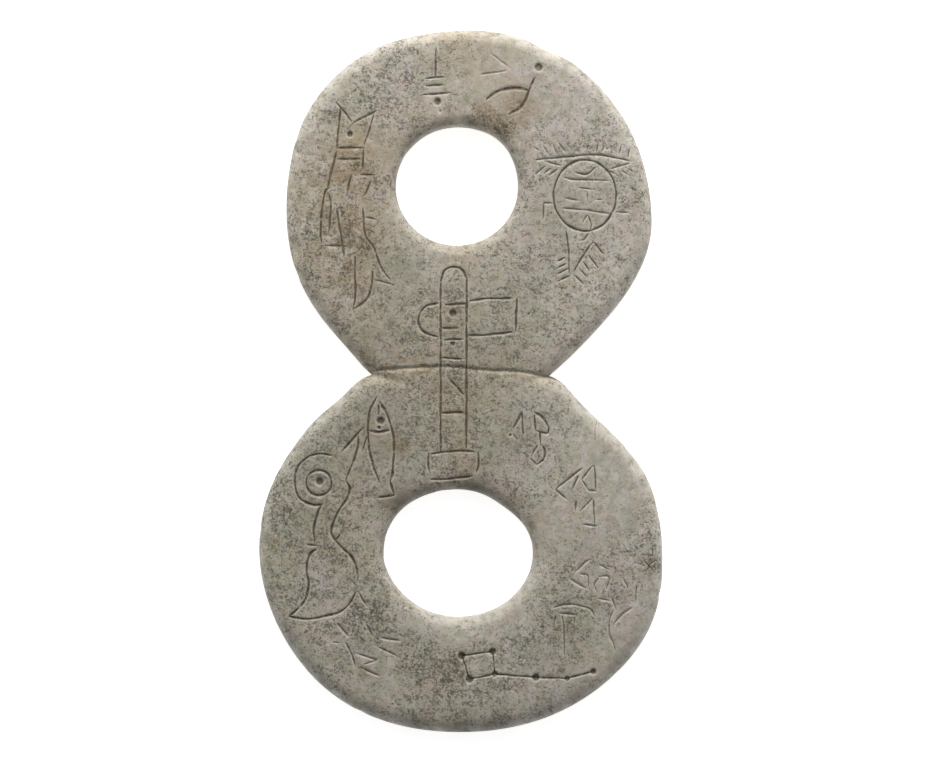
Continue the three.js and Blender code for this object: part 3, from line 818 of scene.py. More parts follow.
# %% [markdown]
# ## Cutting along paths
# One tree does all the carving. It looks for the nearest place on a set of paths, reads the
# reach and the depth stored there, and lowers the surface by a V with soft lips. The same
# tree runs once each for the waist, the strokes, the drilled pits and the pocks, with other
# inputs. It also stores how deep in a cut each point lies, which the stone's dirt reads.

# %% Cutting tree
cutter, cutter_keys = new_tree("cut_along_paths", [
    ("Paths", "Object"), ("Side", "Float"), ("Wander", "Float"), ("Wander size", "Float"),
    ("Bowl", "Float"), ("Halo", "Float"), ("Mark", "String"), ("Halo mark", "String"),
    ("Stone", "Material")])
given = put(cutter, "NodeGroupInput").outputs
place = put(cutter, "GeometryNodeInputPosition").outputs[0]
wander_scale = calc(cutter, "DIVIDE", 1.0, given["Wander size"])
rough = put(cutter, "ShaderNodeTexNoise", Vector=place, Scale=wander_scale, Detail=2.0).outputs["Color"]
drift = vector(cutter, "SCALE", vector(cutter, "SUBTRACT", rough, (0.5, 0.5, 0.5)))
cutter.links.new(given["Wander"], drift.node.inputs["Scale"])
flat = vector(cutter, "MULTIPLY", vector(cutter, "ADD", place, drift), (1.0, 1.0, 0.0))
paths = put(cutter, "GeometryNodeObjectInfo", given["Paths"]).outputs["Geometry"]
nearest = {}
for element in ("EDGES", "POINTS"):
    nearest[element] = put(cutter, "GeometryNodeProximity", paths, Sample_Position=flat,
                           setup=dict(target_element=element)).outputs
away = put(cutter, "GeometryNodeSwitch", nearest["EDGES"]["Is Valid"], nearest["POINTS"]["Distance"],
           nearest["EDGES"]["Distance"], setup=dict(input_type="FLOAT")).outputs[0]
index = put(cutter, "GeometryNodeSampleNearest", paths, flat).outputs[0]


def stored(name):
    """A value stored at the nearest place of the paths."""
    value = put(cutter, "GeometryNodeInputNamedAttribute", Name=name).outputs[0]
    return put(cutter, "GeometryNodeSampleIndex", paths, value, index).outputs[0]


reach = stored("reach")
share = calc(cutter, "DIVIDE", away, reach)
profile = put(cutter, "ShaderNodeFloatCurve", 1.0, share)
curve = profile.mapping.curves[0]
curve.points[0].location, curve.points[1].location = (0.0, 1.0), (1.0, 0.0)
for point in ((0.15, 0.9), (0.55, 0.42), (0.85, 0.08)):
    curve.points.new(*point)
profile.mapping.update()
round_floor = ramp_between(cutter, share, 1.0, 0.55)
section = put(cutter, "ShaderNodeMix", given["Bowl"], setup=dict(data_type="FLOAT"))
cutter.links.new(profile.outputs[0], section.inputs[2])
cutter.links.new(round_floor, section.inputs[3])

# The cut goes down on its own side only
own_side = put(cutter, "GeometryNodeInputNamedAttribute", Name="side").outputs[0]
on_side = calc(cutter, "COMPARE", own_side, given["Side"], 0.5)
cut_share = calc(cutter, "MULTIPLY", section.outputs[0], on_side)
fall = calc(cutter, "MULTIPLY", calc(cutter, "MULTIPLY", cut_share, stored("depth")),
            calc(cutter, "MULTIPLY", given["Side"], -1.0))
cut_down = put(cutter, "GeometryNodeSetPosition", given["Geometry"],
               Offset=put(cutter, "ShaderNodeCombineXYZ", 0.0, 0.0, fall).outputs[0])

# Marks for the stone: how much earth the cut holds here, and how near the cut's lips are
beyond = calc(cutter, "MAXIMUM", calc(cutter, "SUBTRACT", away, reach), 0.0)
beyond_share = calc(cutter, "DIVIDE", beyond, given["Halo"])
halo = calc(cutter, "MULTIPLY", ramp_between(cutter, beyond_share, 1.0, 0.0), on_side)
marked = cut_down.outputs[0]
earthy = calc(cutter, "MULTIPLY", cut_share, stored("earth"))
for label, value in (("Mark", earthy), ("Halo mark", halo)):
    before = put(cutter, "GeometryNodeInputNamedAttribute", Name=given[label]).outputs[0]
    marked = put(cutter, "GeometryNodeStoreNamedAttribute", marked, Name=given[label],
                 Value=calc(cutter, "MAXIMUM", before, value)).outputs[0]
end_tree(cutter, marked, given["Stone"])
print("tree", cutter.name, "with", len(cutter.nodes), "nodes")

# %% [markdown]
# The paths go in as plain mesh objects that hold only edges, or only points for pits and
# pocks. They lie in the plane z = 0, because a cut's width is measured from above. All the
# cuts could be one path object, but each kind has its own wander, section and marks.

# %% Carving


def path_object(name, cut_list):
    """The cuts as one mesh of edges, with the reach and the depth at each point."""
    places, edges = [], []
    for cut in cut_list:
        edges += [(len(places) + i, len(places) + i + 1) for i in range(len(cut["path"]) - 1)]
        places += list(cut["path"] + shift)
    made = mesh_object(name, np.column_stack([places, np.zeros(len(places))]) * MM, edges, [])
    for key in ("reach", "depth"):
        attach(made.data, key, np.concatenate([cut[key] for cut in cut_list]) * MM)
    attach(made.data, "earth", np.concatenate([cut["earth"] for cut in cut_list]))
    return made


def dots(table, depth_share):
    """Pits or pocks as cuts of one point each."""
    return [dict(path=np.array([[x, y]]), reach=np.array([reach]),
                 depth=np.array([reach * depth_share]), earth=np.ones(1)) for x, y, reach in table]


# Each job: name, cuts, side, wander and its size, how round the bowl is, the two marks, and
# the reach of the halo. Lengths are in metres here, because the tree works in the frame.
no_halo = 0.0001
jobs = [
    ("waist_face", [waist_cut], 1.0, 0.0003, 0.004, 0.0, "waist", "waist_halo", 0.0016),
    ("waist_back", [waist_cut], -1.0, 0.0006, 0.004, 0.0, "waist", "waist_halo", 0.0016),
    ("strokes", cuts, 1.0, 0.00012, 0.0012, 0.0, "cut", "cut_halo", 0.0004),
    ("pits", dots(drilled_pits, 0.62), 1.0, 0.0002, 0.0015, 1.0, "pit", "pit_halo", 0.0006),
    ("pocks", dots(pocks, 0.42), 1.0, 0.0005, 0.001, 0.0, "pock", "pock_halo", no_halo),
    ("back_pocks", dots(back_pocks, 0.4), -1.0, 0.0003, 0.001, 0.0, "pock", "pock_halo", no_halo),
]
for name, cut_list, side, wander, wander_size, bowl, mark, halo_mark, halo_size in jobs:
    for attribute in (mark, halo_mark):
        if attribute not in slab.data.attributes:
            attach(slab.data, attribute, np.zeros(len(slab.data.vertices)))
    add_modifier(slab, name, cutter, cutter_keys, Paths=path_object("paths_" + name, cut_list), Side=side,
                 Wander=wander, Wander_size=wander_size, Bowl=bowl, Halo=halo_size, Mark=mark,
                 Halo_mark=halo_mark, Stone=stone)
bpy.context.view_layer.update()
carved = slab.evaluated_get(bpy.context.evaluated_depsgraph_get())
finished = bpy.data.meshes.new_from_object(carved)
slab.modifiers.clear()
slab.data = finished
finished.name = "carved_slab"
for name, *_ in jobs:
    bpy.data.objects.remove(bpy.data.objects["paths_" + name])
finished.calc_loop_triangles()
print("carved slab:", len(finished.vertices), "points,", len(finished.loop_triangles), "triangles")

# %% [markdown]
# ## Tints that belong to places
# The stone is clouded and stained, and some of its tints belong to places, such as the warm
# stain round the beast. Others are painted light: shade on edges that face away from the light,
# and highlights on edges that face it. A noise alone would put them anywhere, so each
# tint is a sum of soft spots, stored at the points of the mesh by name.

# %% Tints
# Each tint gathers round a few places: x, y, reach, amount.
lip_ends = ((-27, -9), (12, 27))
lip_drop = 1.5
tints = {
    # A painted highlight along the lower edge of the waist groove, the edge that faces the light
    "lip": [(x, np.interp(x, *np.transpose(waist_line)) - lip_drop, 1.6, 0.55)
            for start, end in lip_ends for x in range(start, end, 2)],
    "ochre": [
        (-18, 2.2, 3, 0.8), (-10, 3, 3, 0.6), (-31, 62, 12, 0.8), (-31, 44, 11, 0.8), (-30, 27, 9, 0.7),
        (-46, 56, 8, 0.4), (0, 98, 13, 0.6), (16, 78, 8, 0.7), (9, 71, 6, 0.6), (0, 37, 8, 0.5),
        (-2, 6, 14, 0.35), (-18, 4, 9, 0.5), (16, 3, 10, 0.4), (-17, -18, 3, 0.9), (-1, -5, 7, 0.7),
        (-1, -18, 6, 0.5), (-56, -48, 6, 0.4), (-46, 36, 9, 0.4), (14, -36, 6, 0.4), (-1, 19, 5, 0.4),
        (14, -15, 3.5, 0.4), (-35, -30, 8, 0.4), (-30, -48, 8, 0.3), (-25, -13, 6, 0.5), (-27, 9, 6, 0.5),
        (0, -26, 6, 0.4), (-20, -34, 4, 0.5), (-31, 66, 6, 0.6), (-40, -46, 6, 0.3),
    ],
    "warm": [
        (-2, -2, 5, 0.9), (-30, 61, 9, 0.8), (-32, 36, 12, 0.8), (36, 45, 18, 0.5), (2, 82, 16, 0.4),
        (34, 20, 14, 0.4), (21, -24, 9, 0.5), (25, -44, 7, 0.5), (-7, -88, 9, 0.5), (-30, -60, 9, 0.4),
        (-38, -48, 6, 0.4), (-2, 12, 12, 0.3), (-38, 18, 9, 0.6), (-8, -12, 6, 0.6), (-2, -22, 6, 0.5),
        (-27, -22, 5, 0.5), (33, 34, 6, 0.6), (46, 55, 7, 0.5), (30, -45, 8, 0.6),
    ],
    "green": [
        (12, -5, 8, 0.8), (-22, 88, 7, 0.3), (-34, 80, 5, 0.9), (-46, 53, 7, 0.4), (-47, 32, 7, 0.6),
        (-38, 8, 12, 0.4), (7, -8, 8, 0.9), (-18, 33, 8, 0.7), (-36, -12, 10, 0.8), (-8, -15, 9, 0.7),
        (-51, -38, 13, 0.8), (-52, -58, 9, 0.6), (-50, -76, 8, 0.6), (-21, -74, 9, 0.8),
        (48, -36, 10, 0.5), (54, -52, 4, 0.9), (30, -70, 9, 0.7), (-12, -8, 8, 0.4), (-28, -90, 6, 0.3),
        (-10, 0, 7, 0.6), (-5, -9, 7, 0.6), (15, -12, 7, 0.7), (-30, -48, 7, 0.6), (-28, -60, 6, 0.6),
        (-8, -75, 7, 0.4), (-44, -80, 6, 0.6), (8, 22, 6, 0.5), (35, 20, 7, 0.5), (45, 55, 9, -0.9),
        (32, 20, 7, -0.9), (-18, -5, 6, -0.8), (28, -7, 6, -0.7), (20, -25, 7, -0.6), (40, 75, 6, -0.8),
        (-28, -70, 6, -0.7), (-14, 11, 5, -0.7), (-45, 30, 6, 0.6), (42, 65, 5, 0.5), (33, 36, 5, 0.6),
        (-40, -18, 8, 0.5), (-55, -45, 6, 0.5), (-40, -86, 6, 0.5), (5, -96, 6, 0.5), (32, -64, 7, 0.5),
        (12, -12, 8, 1), (35, -70, 7, 0.5),
    ],
    "cool": [
        (44, 54, 9, 0.8), (40, 76, 8, 0.8), (-42, 63, 7, 0.8), (16, -28, 8, 0.7), (22, -88, 9, 0.9),
        (-40, -58, 6, 0.9), (40, -48, 8, 0.5), (18, -74, 7, 0.8), (28, -6, 8, 0.7), (24, 30, 6, 0.6),
        (-17, 92, 8, 0.9), (8, 28, 6, 0.5), (24, 10, 6, 0.6), (46, -20, 10, 0.5), (-35, -82, 6, 0.5),
        (-26, 50, 6, 0.5), (48, 34, 8, 0.5), (2, 2, 8, 0.6), (10, 14, 8, 0.5), (6, 92, 8, 0.5),
        (-48, -22, 6, 0.6), (50, -66, 10, 0.6), (18, 84, 6, 0.4), (-26, 28, 6, 0.4), (26, -12, 8, 0.5),
        (27, 6, 5, 0.6), (-29, -80, 6, 0.7), (-35, 61, 5, 0.5), (24, 70, 7, 0.6), (36, 84, 6, 0.8),
        (50, 66, 7, 0.7), (36, 58, 22, 0.5), (46, -30, 20, 0.4), (20, 88, 14, 0.5), (50, -60, 14, 0.4),
        (36, 30, 14, 0.4), (13, -12, 8, 0.4), (-13, 10, 5, 0.8), (11, 9, 5, 0.5), (50, 62, 8, 0.6),
        (46, 80, 8, 0.6), (46, -8, 9, 0.6), (52, -20, 8, 0.5), (-18, -5, 5, 0.8), (20, -22, 7, 0.6),
        (-43, 72, 7, 0.7), (-15, 30, 5, 0.6), (-12, 86, 8, 0.6), (28, 78, 8, 0.5),
    ],
    # Painted shade on edges that face away from the light: the bottom rim and the top edges of both bores
    "dim": [
        (-18, -33.5, 4, 1), (4, -31, 5, 1), (12, -34, 4, 0.3), (-10, -31.5, 3, 0.6), (-13, 68, 3, 0.5),
        (-5, 72, 3, 0.5), (4, 72, 3, 0.6), (11, 69, 3, 0.2), (0, -99.5, 5, 1), (11, -98.5, 5, 0.8),
        (-13, -98.5, 5, 0.8), (-27, -95, 4, 0.6), (24, -96, 4, 0.6), (35, -91, 4, 0.6),
        (-42, -86, 4, 0.6), (-51, -73, 4, 0.4), (46, -81, 4, 0.4),
    ],
    "calm": [
        (12, 88, 11, 0.9), (40, -13, 9, 0.8), (-24, 66, 6, 0.4), (42, -22, 9, 0.9), (46, -38, 8, 0.8),
        (26, -42, 8, 0.7), (48, -78, 13, 0.9), (50, 80, 8, 0.6), (30, 82, 8, 0.5), (-6, 78, 6, 0.5),
        (-30, -54, 6, 0.4), (-24, -80, 6, 0.7), (12, -95, 10, 0.4), (38, 52, 6, 0.3), (0, -69, 7, 0.7),
        (14, -66, 6, 0.8), (-13, -67, 6, 0.6), (-4, 35, 6, 0.4), (48, -30, 8, 0.5), (18, 84, 8, 0.4),
        (6, 88, 8, 0.3),
    ],
    "dense": [
        (-40, 50, 16, 0.4), (-48, 20, 16, 0.4), (-48, -38, 20, 0.7), (-25, -66, 12, 0.8),
        (0, -8, 16, 0.5), (-4, 12, 16, 0.4), (31, -70, 9, 0.9), (10, -90, 16, 0.6), (-6, -88, 12, 0.4),
        (-20, 86, 8, 0.7), (24, -12, 6, 0.4), (54, -44, 5, 0.9), (40, 70, 8, 0.4), (-38, -8, 12, 0.5),
        (-10, -76, 10, 0.4),
    ],
    # Darker green-grey stone, and painted shade on the top edge of the lower bore and near the bottom rim
    "shade": [
        (0, 12, 20, 0.4), (-46, -34, 14, 0.5), (-4, -8, 16, 0.3), (-20, -76, 16, 0.3), (22, -88, 18, 0.3),
        (-34, 14, 14, 0.2), (30, -66, 8, 0.4), (36, 52, 9, 0.2), (-23, -17, 10, 0.8), (14, -18, 7, 0.7),
        (35, 53, 9, 0.4), (-52, -16, 9, 0.5), (9, 18, 9, 0.3), (-22, -12, 8, 0.4), (-20, 4, 6, 0.4),
        (-18, 33, 7, 0.5), (-28, 10, 7, 0.5), (-25, -12, 7, 0.4), (20, -14, 6, 0.4), (-42, -44, 6, 0.4),
        (28, 47, 7, 0.7), (30, 32, 4, 0.8), (20, 4, 5, 0.5), (-20, 16, 7, 0.4), (18, -12, 5, 0.4),
        (15, 25, 6, 0.3), (10, 6, 5, 0.7), (34, -46, 6, 0.3), (22, 78, 6, 0.3), (-18, -33, 5, 0.6),
        (4, -30, 6, 0.6), (-5, 82, 5, 0.3), (-48, -80, 5, 0.4), (-28, -92, 6, 0.4), (-12, -28, 6, 0.5),
        (-48, -6, 12, 0.4), (-17, 30, 8, 0.4), (-33, -25, 8, 0.5),
    ],
    # Paler stone, with painted light over the right side and a painted highlight on the lower bore's lower
    # edge, which faces the light
    "pale": [
        (52, 58, 20, 0.8), (36, 78, 12, 0.4), (44, 30, 14, 0.5), (26, -4, 12, 0.7), (46, -24, 14, 0.8),
        (56, -44, 12, 0.6), (34, -44, 12, 0.5), (-2, 84, 14, 0.4), (-16, 2, 8, 0.5), (-7, 38, 6, 0.7),
        (8, 38, 6, 0.7), (-14, -67, 6, 1), (0, -70, 7, 1), (15, -66, 6, 1), (4, 0.5, 5, 0.9),
        (-50, 52, 5, 0.5), (-57, -33, 4, 0.6), (-42, 45, 10, 0.45), (-2, -11, 5, 0.5), (-42, -13, 7, 0.5),
        (-21, -79.5, 2.5, 0.7), (-33, 30, 7, 0.3), (40, 24, 9, 0.4), (19, -58, 5, 0.5), (20, -28, 8, 0.5),
        (-46, 54, 12, 0.6), (-34, -48, 6, 0.5), (12, -4, 8, 0.2), (-10, -6, 6, 0.5), (54, -66, 10, 0.5),
        (-6, 90, 8, 0.3), (-48, 62, 9, 1), (-46, 44, 9, 0.9), (-40, 79, 7, 0.6), (-24, 91, 7, 0.9),
        (-4, 33, 6, 0.8), (55, -45, 6, 0.8), (-56, -33, 5, 0.7), (30, -66, 5, 0.4), (14, -86, 9, 0.6),
        (-35, -83, 5, 0.5), (46, 18, 8, 0.4), (-47, 74, 9, 0.5), (-51, 48, 7, 0.5), (-35, 45, 7, 0.8),
        (-34, 27, 6, 0.6), (-2, -4, 5, 0.6), (18, -62, 5, 0.8), (-53, -36, 8, 0.6), (-30, 88, 8, 0.4),
        (22, -54, 4, 0.8), (14, 68, 3, 0.5), (-16, -92, 5, 0.6), (15, -33, 4, 0.4),
    ],
    "brown": [
        (-28.5, 62, 2.4, 1), (-33.5, 57, 2, 0.6), (-37, 48, 2.5, 0.7), (-32, 47, 2.5, 0.6),
        (-30.5, 41, 3, 0.8), (-34, 40, 1.6, 0.7), (-26, 38, 3, 0.7), (-30, 33, 2, 0.8), (-35, 76, 2, 0.6),
        (-26, 72, 1.6, 0.6), (6, 76.5, 3.5, 0.7), (11, 72.5, 3.5, 0.8), (15, 77, 3.5, 0.7),
        (18, 81, 3, 0.4), (15, -34, 4, 0.4), (-16.5, -18, 2.2, 0.8), (-10, 74, 4, 0.4), (-2, 3, 3, 0.4),
        (-8, -33, 4, 0.4), (54, -52, 3, 0.7), (31, -70, 3, 0.5), (-14, 68, 4, 0.3), (54.5, -52.4, 2.2, 1),
        (-27, -81.8, 2.2, 0.8), (0.5, -77.8, 2.2, 0.5), (-5, -79, 4, 0.5), (-10, -84, 5, 0.2),
        (-2, 19.5, 2.2, 0.6), (-2.1, 10.9, 1.8, 0.7),
    ],
}
points = np.empty(len(finished.vertices) * 3, np.float32)
finished.vertices.foreach_get("co", points)
drawn = points.reshape(-1, 3)[:, :2] / MM - shift
for name, spots in tints.items():
    field = sum(amount * np.exp(-((drawn - (x, y)) ** 2).sum(1) / reach ** 2)
                for x, y, reach, amount in spots)
    attach(finished, name, np.minimum(field, 1))
print("tints:", {name: len(spots) for name, spots in tints.items()})

# %% [markdown]
# ## The stone
# It is a matt grey-beige stone, clouded with lavender and green-grey, stained ochre round the
# carving and peppered with dark grains. The material is built in that order, one layer over
# another, and earth in the cuts comes last. It reads Object coordinates in millimetres, and
# the marks that the mesh stores. Its colours were set by comparing renders with the
# photograph, part by part.

# %% Stone colours


def linear(red, green, blue):
    """A colour from screen values of 0 to 255 to the linear values that nodes use."""
    channels = [c / 255 for c in (red, green, blue)]
    return (*[c / 12.92 if c <= 0.04045 else ((c + 0.055) / 1.055) ** 2.4 for c in channels], 1.0)


beige, pale_beige = linear(173, 164, 148), linear(194, 186, 172)
lavender, cool_lavender, rosy = linear(171, 162, 155), linear(172, 164, 163), linear(172, 153, 138)
green_grey, green_shade, olive = linear(143, 147, 124), linear(118, 115, 98), linear(152, 147, 116)
# The first colour here is for painted shade on edges that face away from the light
painted_edge_shade, cut_brown = linear(84, 79, 68), linear(76, 62, 40)
rosy_patch, green_patch = linear(170, 153, 142), linear(155, 158, 140)
ochre_stain, brown_stain, dark_earth = linear(138, 116, 78), linear(104, 82, 46), linear(54, 47, 34)
grain_dark, grain_pale = linear(64, 60, 48), linear(206, 199, 187)
pale_grey, pale_rim, warm_rim = linear(198, 192, 182), linear(204, 200, 191), linear(204, 190, 166)
print("beige in linear values:", tuple(round(c, 3) for c in beige))

# %% [markdown]
# The stone is one tree of noises and marks. These helpers make its nodes: a noise of some
# size, a mark that the mesh stores, one colour laid over another, and sums and products.

# %% Helpers of the stone tree
stone.use_nodes = True
look = stone.node_tree
look.nodes.clear()
object_place = put(look, "ShaderNodeTexCoord").outputs["Object"]
in_mm = vector(look, "SCALE", object_place)
in_mm.node.inputs["Scale"].default_value = 1 / MM
print("stone tree starts with", len(look.nodes), "nodes")


def noise(size, detail=3.0, roughness=0.55, away=0.0):
    """A noise whose blobs are that many millimetres across."""
    place = vector(look, "ADD", in_mm, (away, -away, away * 0.5)) if away else in_mm
    return put(look, "ShaderNodeTexNoise", Vector=place, Scale=1 / size, Detail=detail,
               Roughness=roughness).outputs[0]


def mark(name):
    """A value that the mesh stores at each point."""
    return put(look, "ShaderNodeAttribute", setup=dict(attribute_name=name)).outputs["Fac"]


def cloud(size, detail, low, high, away, roughness=0.55):
    """A noise made into clouds: 0 where it is under low, 1 where it is over high."""
    return ramp_between(look, noise(size, detail, roughness, away), low, high)


def blend(factor, below, above):
    """One colour laid over another."""
    mixed = put(look, "ShaderNodeMix", factor, setup=dict(data_type="RGBA", clamp_factor=True))
    for socket, colour in ((mixed.inputs[6], below), (mixed.inputs[7], above)):
        if isinstance(colour, bpy.types.NodeSocket):
            look.links.new(colour, socket)
        else:
            socket.default_value = colour
    return mixed.outputs[2]


def times(*values):
    """The product of nodes and numbers."""
    result = values[0]
    for value in values[1:]:
        result = calc(look, "MULTIPLY", result, value)
    return result


def plus(*values):
    """The sum of nodes and numbers."""
    result = values[0]
    for value in values[1:]:
        result = calc(look, "ADD", result, value)
    return result


# %% [markdown]
# Clouds of lavender, green and rose lie over the beige, some a centimetre across and spread
# by noise alone, others where the marks put them. Smaller mottling lies over the clouds.

# %% Clouds and mottling
colour = blend(cloud(13, 3, 0.36, 0.64, 11), beige, lavender)
green_share = plus(times(cloud(9, 4, 0.5, 0.72, 47), 0.6), times(mark("green"), 0.9))
colour = blend(times(green_share, cloud(4, 3, 0.28, 0.56, 5)), colour, green_grey)
colour = blend(times(mark("warm"), cloud(5, 3, 0.25, 0.55, 83), 0.6), colour, rosy)
colour = blend(times(mark("cool"), cloud(6, 3, 0.15, 0.42, 59), 0.85), colour, cool_lavender)
colour = blend(times(cloud(6, 4, 0.5, 0.75, 29), 0.4), colour, pale_beige)
# Paler stone where the pale mark lies, partly painted light: the right side and the lit lower edge of the
# lower bore
colour = blend(times(mark("pale"), 0.65), colour, pale_grey)

# Each layer of mottling: size, detail, low, high, shift and roughness of its clouds, amount, colour
mottling = [
    ((5.5, 4, 0.46, 0.66, 97, 0.6), 0.38, green_shade),
    ((1.9, 4, 0.4, 0.68, 61, 0.65), 0.52, pale_beige),
    ((2.4, 4, 0.44, 0.66, 67, 0.65), 0.5, green_shade),
    ((3.4, 3, 0.45, 0.62, 111, 0.6), 0.4, olive),
    ((3.0, 3, 0.47, 0.64, 131, 0.6), 0.35, cool_lavender),
]
for clouds, amount, above in mottling:
    colour = blend(times(cloud(*clouds), amount), colour, above)
patches = noise(4, 2, away=151)
colour = blend(times(ramp_between(look, patches, 0.5, 0.66), 0.45), colour, rosy_patch)
colour = blend(times(ramp_between(look, patches, 0.5, 0.34), 0.45), colour, green_patch)
print("clouds and mottling:", len(look.nodes), "nodes so far")

# %% [markdown]
# Ochre stains soak in round the carving, and turn brown where they are thick. The worn rims
# are paler, and a painted highlight lies along the lower edge of the waist groove; both are
# warmer in places.

# %% Stains and worn rims
ochre_share = times(mark("ochre"), cloud(3.2, 5, 0.32, 0.6, 19, 0.65))
colour = blend(times(ochre_share, 0.65), colour, ochre_stain)
brown_share = times(mark("brown"), cloud(1.6, 5, 0.36, 0.6, 39, 0.7))
colour = blend(times(brown_share, 0.75), colour, brown_stain)
rim_share = times(ramp_between(look, mark("rim"), 0.25, 0.9), cloud(3, 5, 0.36, 0.62, 71, 0.65))
rim_warmth = plus(mark("ochre"), times(mark("warm"), 0.5), times(cloud(9, 3, 0.5, 0.65, 37), 0.3),
                  mark("lip"))
rim_colour = blend(rim_warmth, pale_rim, warm_rim)
# This mark is a painted highlight along the waist groove's lower edge, which faces the light.
lip_highlight_share = times(mark("lip"), cloud(1.6, 4, 0.3, 0.5, 79))
worn_rim_and_lip_highlight = calc(look, "MAXIMUM", rim_share, lip_highlight_share)
colour = blend(times(worn_rim_and_lip_highlight, 0.7), colour, rim_colour)
print("stains and rims:", len(look.nodes), "nodes so far")

# %% [markdown]
# The stone is full of small dark grains, from dust up to a millimetre and a half, which
# gather in clumps and are fewer on the worn rims. Two kinds of noise make them, because one
# alone gives grains that are all alike. The pepper says how many there are.

# %% Grains
clumps = plus(times(cloud(2.6, 3, 0.32, 0.68, 91, 0.5), 0.5),
              times(cloud(9, 2, 0.3, 0.7, 33, 0.5), 0.3))
pepper = plus(0.04, clumps, times(mark("dense"), 0.4), times(mark("calm"), -0.6), times(mark("brown"), 0.4),
              times(rim_share, -0.2))
pepper = calc(look, "MAXIMUM", pepper, 0.0)


def grains(size, low, high, away, gather):
    """Irregular dark grains; the denser the pepper, the more of them."""
    field = calc(look, "MULTIPLY_ADD", pepper, gather, noise(size, 2, 0.55, away=away))
    return ramp_between(look, field, low, high)


def dots_of(cell, away, least, most, share):
    """Rounder grains, one in some of the cells of a pattern; share is how many cells stay empty."""
    place = vector(look, "ADD", in_mm, (away, away * 3, 1))
    cells = put(look, "ShaderNodeTexVoronoi", Vector=place, Scale=1 / cell, Randomness=1.0)
    chosen = put(look, "ShaderNodeSeparateColor", cells.outputs["Color"]).outputs
    wide = calc(look, "MULTIPLY_ADD", chosen[1], most - least, least)
    uneven = calc(look, "MULTIPLY_ADD", noise(cell / 3, 2, away=77), 0.6, -0.3)
    beyond = calc(look, "SUBTRACT", plus(cells.outputs["Distance"], uneven), wide)
    kept = calc(look, "MULTIPLY_ADD", pepper, 0.35, chosen[0])
    return times(ramp_between(look, beyond, 0.08, -0.04), ramp_between(look, kept, share, share + 0.04))


fine = grains(0.6, 0.59, 0.73, 7, 0.15)
middling = grains(1.0, 0.62, 0.75, 27, 0.17)
speck = dots_of(0.75, 5, 0.14, 0.34, 0.78)
spot = times(dots_of(1.5, 3, 0.06, 0.22, 0.8), calc(look, "MULTIPLY_ADD", pepper, 0.6, 0.35))
colour = blend(times(cloud(0.6, 3, 0.55, 0.66, 17, 0.7), 0.32), colour, grain_pale)
colour = blend(times(fine, calc(look, "MULTIPLY_ADD", pepper, 0.4, 0.28)), colour, grain_dark)
colour = blend(times(middling, calc(look, "MULTIPLY_ADD", pepper, 0.25, 0.32)), colour, grain_dark)
colour = blend(times(speck, calc(look, "MULTIPLY_ADD", pepper, 0.5, 0.3)), colour, grain_dark)
colour = blend(times(spot, 0.75), colour, grain_dark)
# Darker green-grey stone where the shade mark lies, partly painted shade on the lower bore's top edge and
# near the bottom rim
colour = blend(times(mark("shade"), 0.36), colour, green_shade)
# Painted shade on the edges that face away from the light
colour = blend(times(mark("dim"), 0.6), colour, painted_edge_shade)
print("grains:", len(look.nodes), "nodes so far")

# %% [markdown]
# Earth has stayed at the bottom of the cuts and the pits, darker and browner where the
# stone is stained, and it has fallen out in places. The lips beside a cut or a pit are a little
# paler, partly worn and partly a painted highlight.

# %% Earth in the cuts
brownness = plus(times(mark("ochre"), 0.9), cloud(2.5, 3, 0.45, 0.75, 3))
earth = blend(brownness, dark_earth, cut_brown)
# Paler lips round cuts and pits: partly worn stone, partly a painted highlight
colour = blend(times(plus(mark("cut_halo"), mark("pit_halo")), 0.28), colour, grain_pale)
colour = blend(times(mark("cut_halo"), ochre_share, 0.55), colour, brown_stain)
cut_share = ramp_between(look, mark("cut"), 0.25, 0.62)
waist_share = times(ramp_between(look, mark("waist"), 0.45, 1.0), 0.45)
pit_share = plus(times(ramp_between(look, mark("pit"), 0.3, 0.85), 0.85), times(mark("pock"), 0.35))
dirt = times(plus(times(cut_share, 0.88), waist_share, pit_share), cloud(1.1, 4, 0.2, 0.52, 53, 0.65))
colour = blend(calc(look, "MINIMUM", dirt, 0.92), colour, earth)
print("earth:", len(look.nodes), "nodes so far")

# %% [markdown]
# The surface is matt, a bit smoother in spots, with a fine bump of grain. The dark grains
# sit a little lower than the stone round them.

# %% Roughness and bump
bump_height = 0.00016
roughness = calc(look, "MULTIPLY_ADD", noise(1.5, 4, away=23), 0.25, 0.5)
grain = plus(times(noise(0.35, 4, 0.7, away=7), 0.6), times(noise(1.6, 3, 0.6, away=13), 0.8),
             times(fine, -0.4), times(middling, -0.5), times(spot, -0.6))
bump = put(look, "ShaderNodeBump", Strength=0.55, Distance=bump_height, Height=grain).outputs[0]
surface = put(look, "ShaderNodeBsdfPrincipled", Base_Color=colour, Roughness=roughness, Normal=bump)
surface.inputs["Specular IOR Level"].default_value = 0.35
put(look, "ShaderNodeOutputMaterial", Surface=surface.outputs[0])
finished.materials.clear()
finished.materials.append(stone)
print("stone:", len(look.nodes), "nodes")

# %% [markdown]
# ## The floor
# The slab lies on its back on a plain pale floor. It glows a little, so that it shows nearly
# white as in the photograph, without so much light that the stone turns pale too.

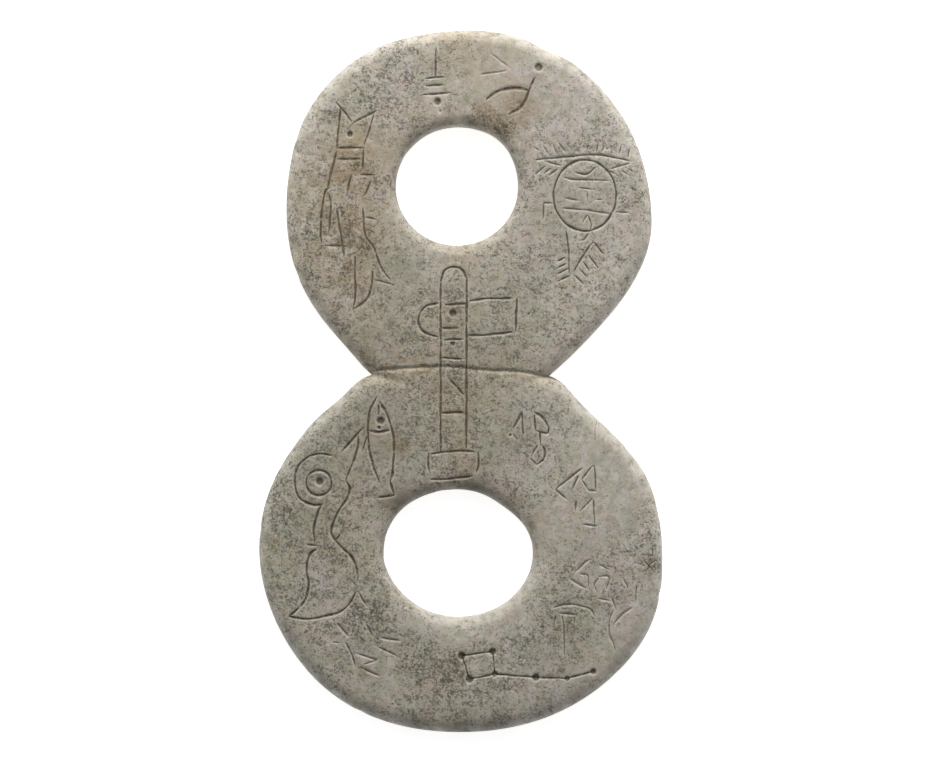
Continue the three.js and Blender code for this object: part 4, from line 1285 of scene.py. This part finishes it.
# %% Floor
floor_size = 6.0
bpy.ops.mesh.primitive_plane_add(size=floor_size, location=(0, 0, 0))
floor = bpy.context.object
floor.name = "floor"
paint = bpy.data.materials.new("pale_floor")
paint.use_nodes = True
flat_white = paint.node_tree.nodes["Principled BSDF"]
flat_white.inputs["Base Color"].default_value = (0.82, 0.82, 0.82, 1)
flat_white.inputs["Roughness"].default_value = 0.9
flat_white.inputs["Emission Color"].default_value = (1, 1, 1, 1)
flat_white.inputs["Emission Strength"].default_value = 0.76
floor.data.materials.append(paint)
print("floor of", floor_size, "m")

# %% [markdown]
# ## The lights
# The light comes mostly from the top of the picture, low over the face, so the cuts show.
# A broad soft fill comes from the front, and the world gives the rest.

# %% Lights


def soft_light(name, place, aim, size, power, tint=(1, 1, 1)):
    """A square soft light that faces a place."""
    lamp = bpy.data.lights.new(name, "AREA")
    lamp.size, lamp.energy, lamp.color = size, power, tint
    made = bpy.data.objects.new(name, lamp)
    made.location = place
    way = made.location - Vector(aim)
    made.rotation_euler = way.to_track_quat("Z", "Y").to_euler()
    bpy.context.scene.collection.objects.link(made)


soft_light("key", (0.03, 0.68, 0.47), (0, 0.02, 0), 0.4, 6.9, (1.0, 0.985, 0.955))
soft_light("fill", (0.05, 0.5, 1.0), (0, 0.05, 0), 0.8, 2.2)
world = bpy.data.worlds.new("studio")
world.use_nodes = True
background = world.node_tree.nodes["Background"]
background.inputs["Color"].default_value = (0.95, 0.97, 1.0, 1)
background.inputs["Strength"].default_value = 0.28
bpy.context.scene.world = world
bpy.context.scene.view_settings.view_transform = "Standard"
print("key and fill light, and a dim world")

# %% [markdown]
# ## The camera
# It looks straight down on the slab, as the photograph looks straight at it. Its distance
# follows from the lens and from how many millimetres one pixel of the photograph covers.

# %% Camera
mm_per_pixel = 0.2841
image_width = 928
image_middle = np.array([1.14, 0.14]) + shift
lens, sensor_width = 150, 36
camera_data = bpy.data.cameras.new("camera")
camera_data.lens, camera_data.sensor_width = lens, sensor_width
camera = bpy.data.objects.new("camera", camera_data)
distance = image_width * mm_per_pixel * MM * lens / sensor_width
camera.location = (*(image_middle * MM), thickness * MM + distance)
camera_data.clip_end = 10
bpy.context.scene.collection.objects.link(camera)
bpy.context.scene.camera = camera
print("camera", round(distance, 3), "m above the face")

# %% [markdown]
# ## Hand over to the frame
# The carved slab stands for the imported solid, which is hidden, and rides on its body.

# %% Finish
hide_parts("double_disc")
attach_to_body(slab, "root")
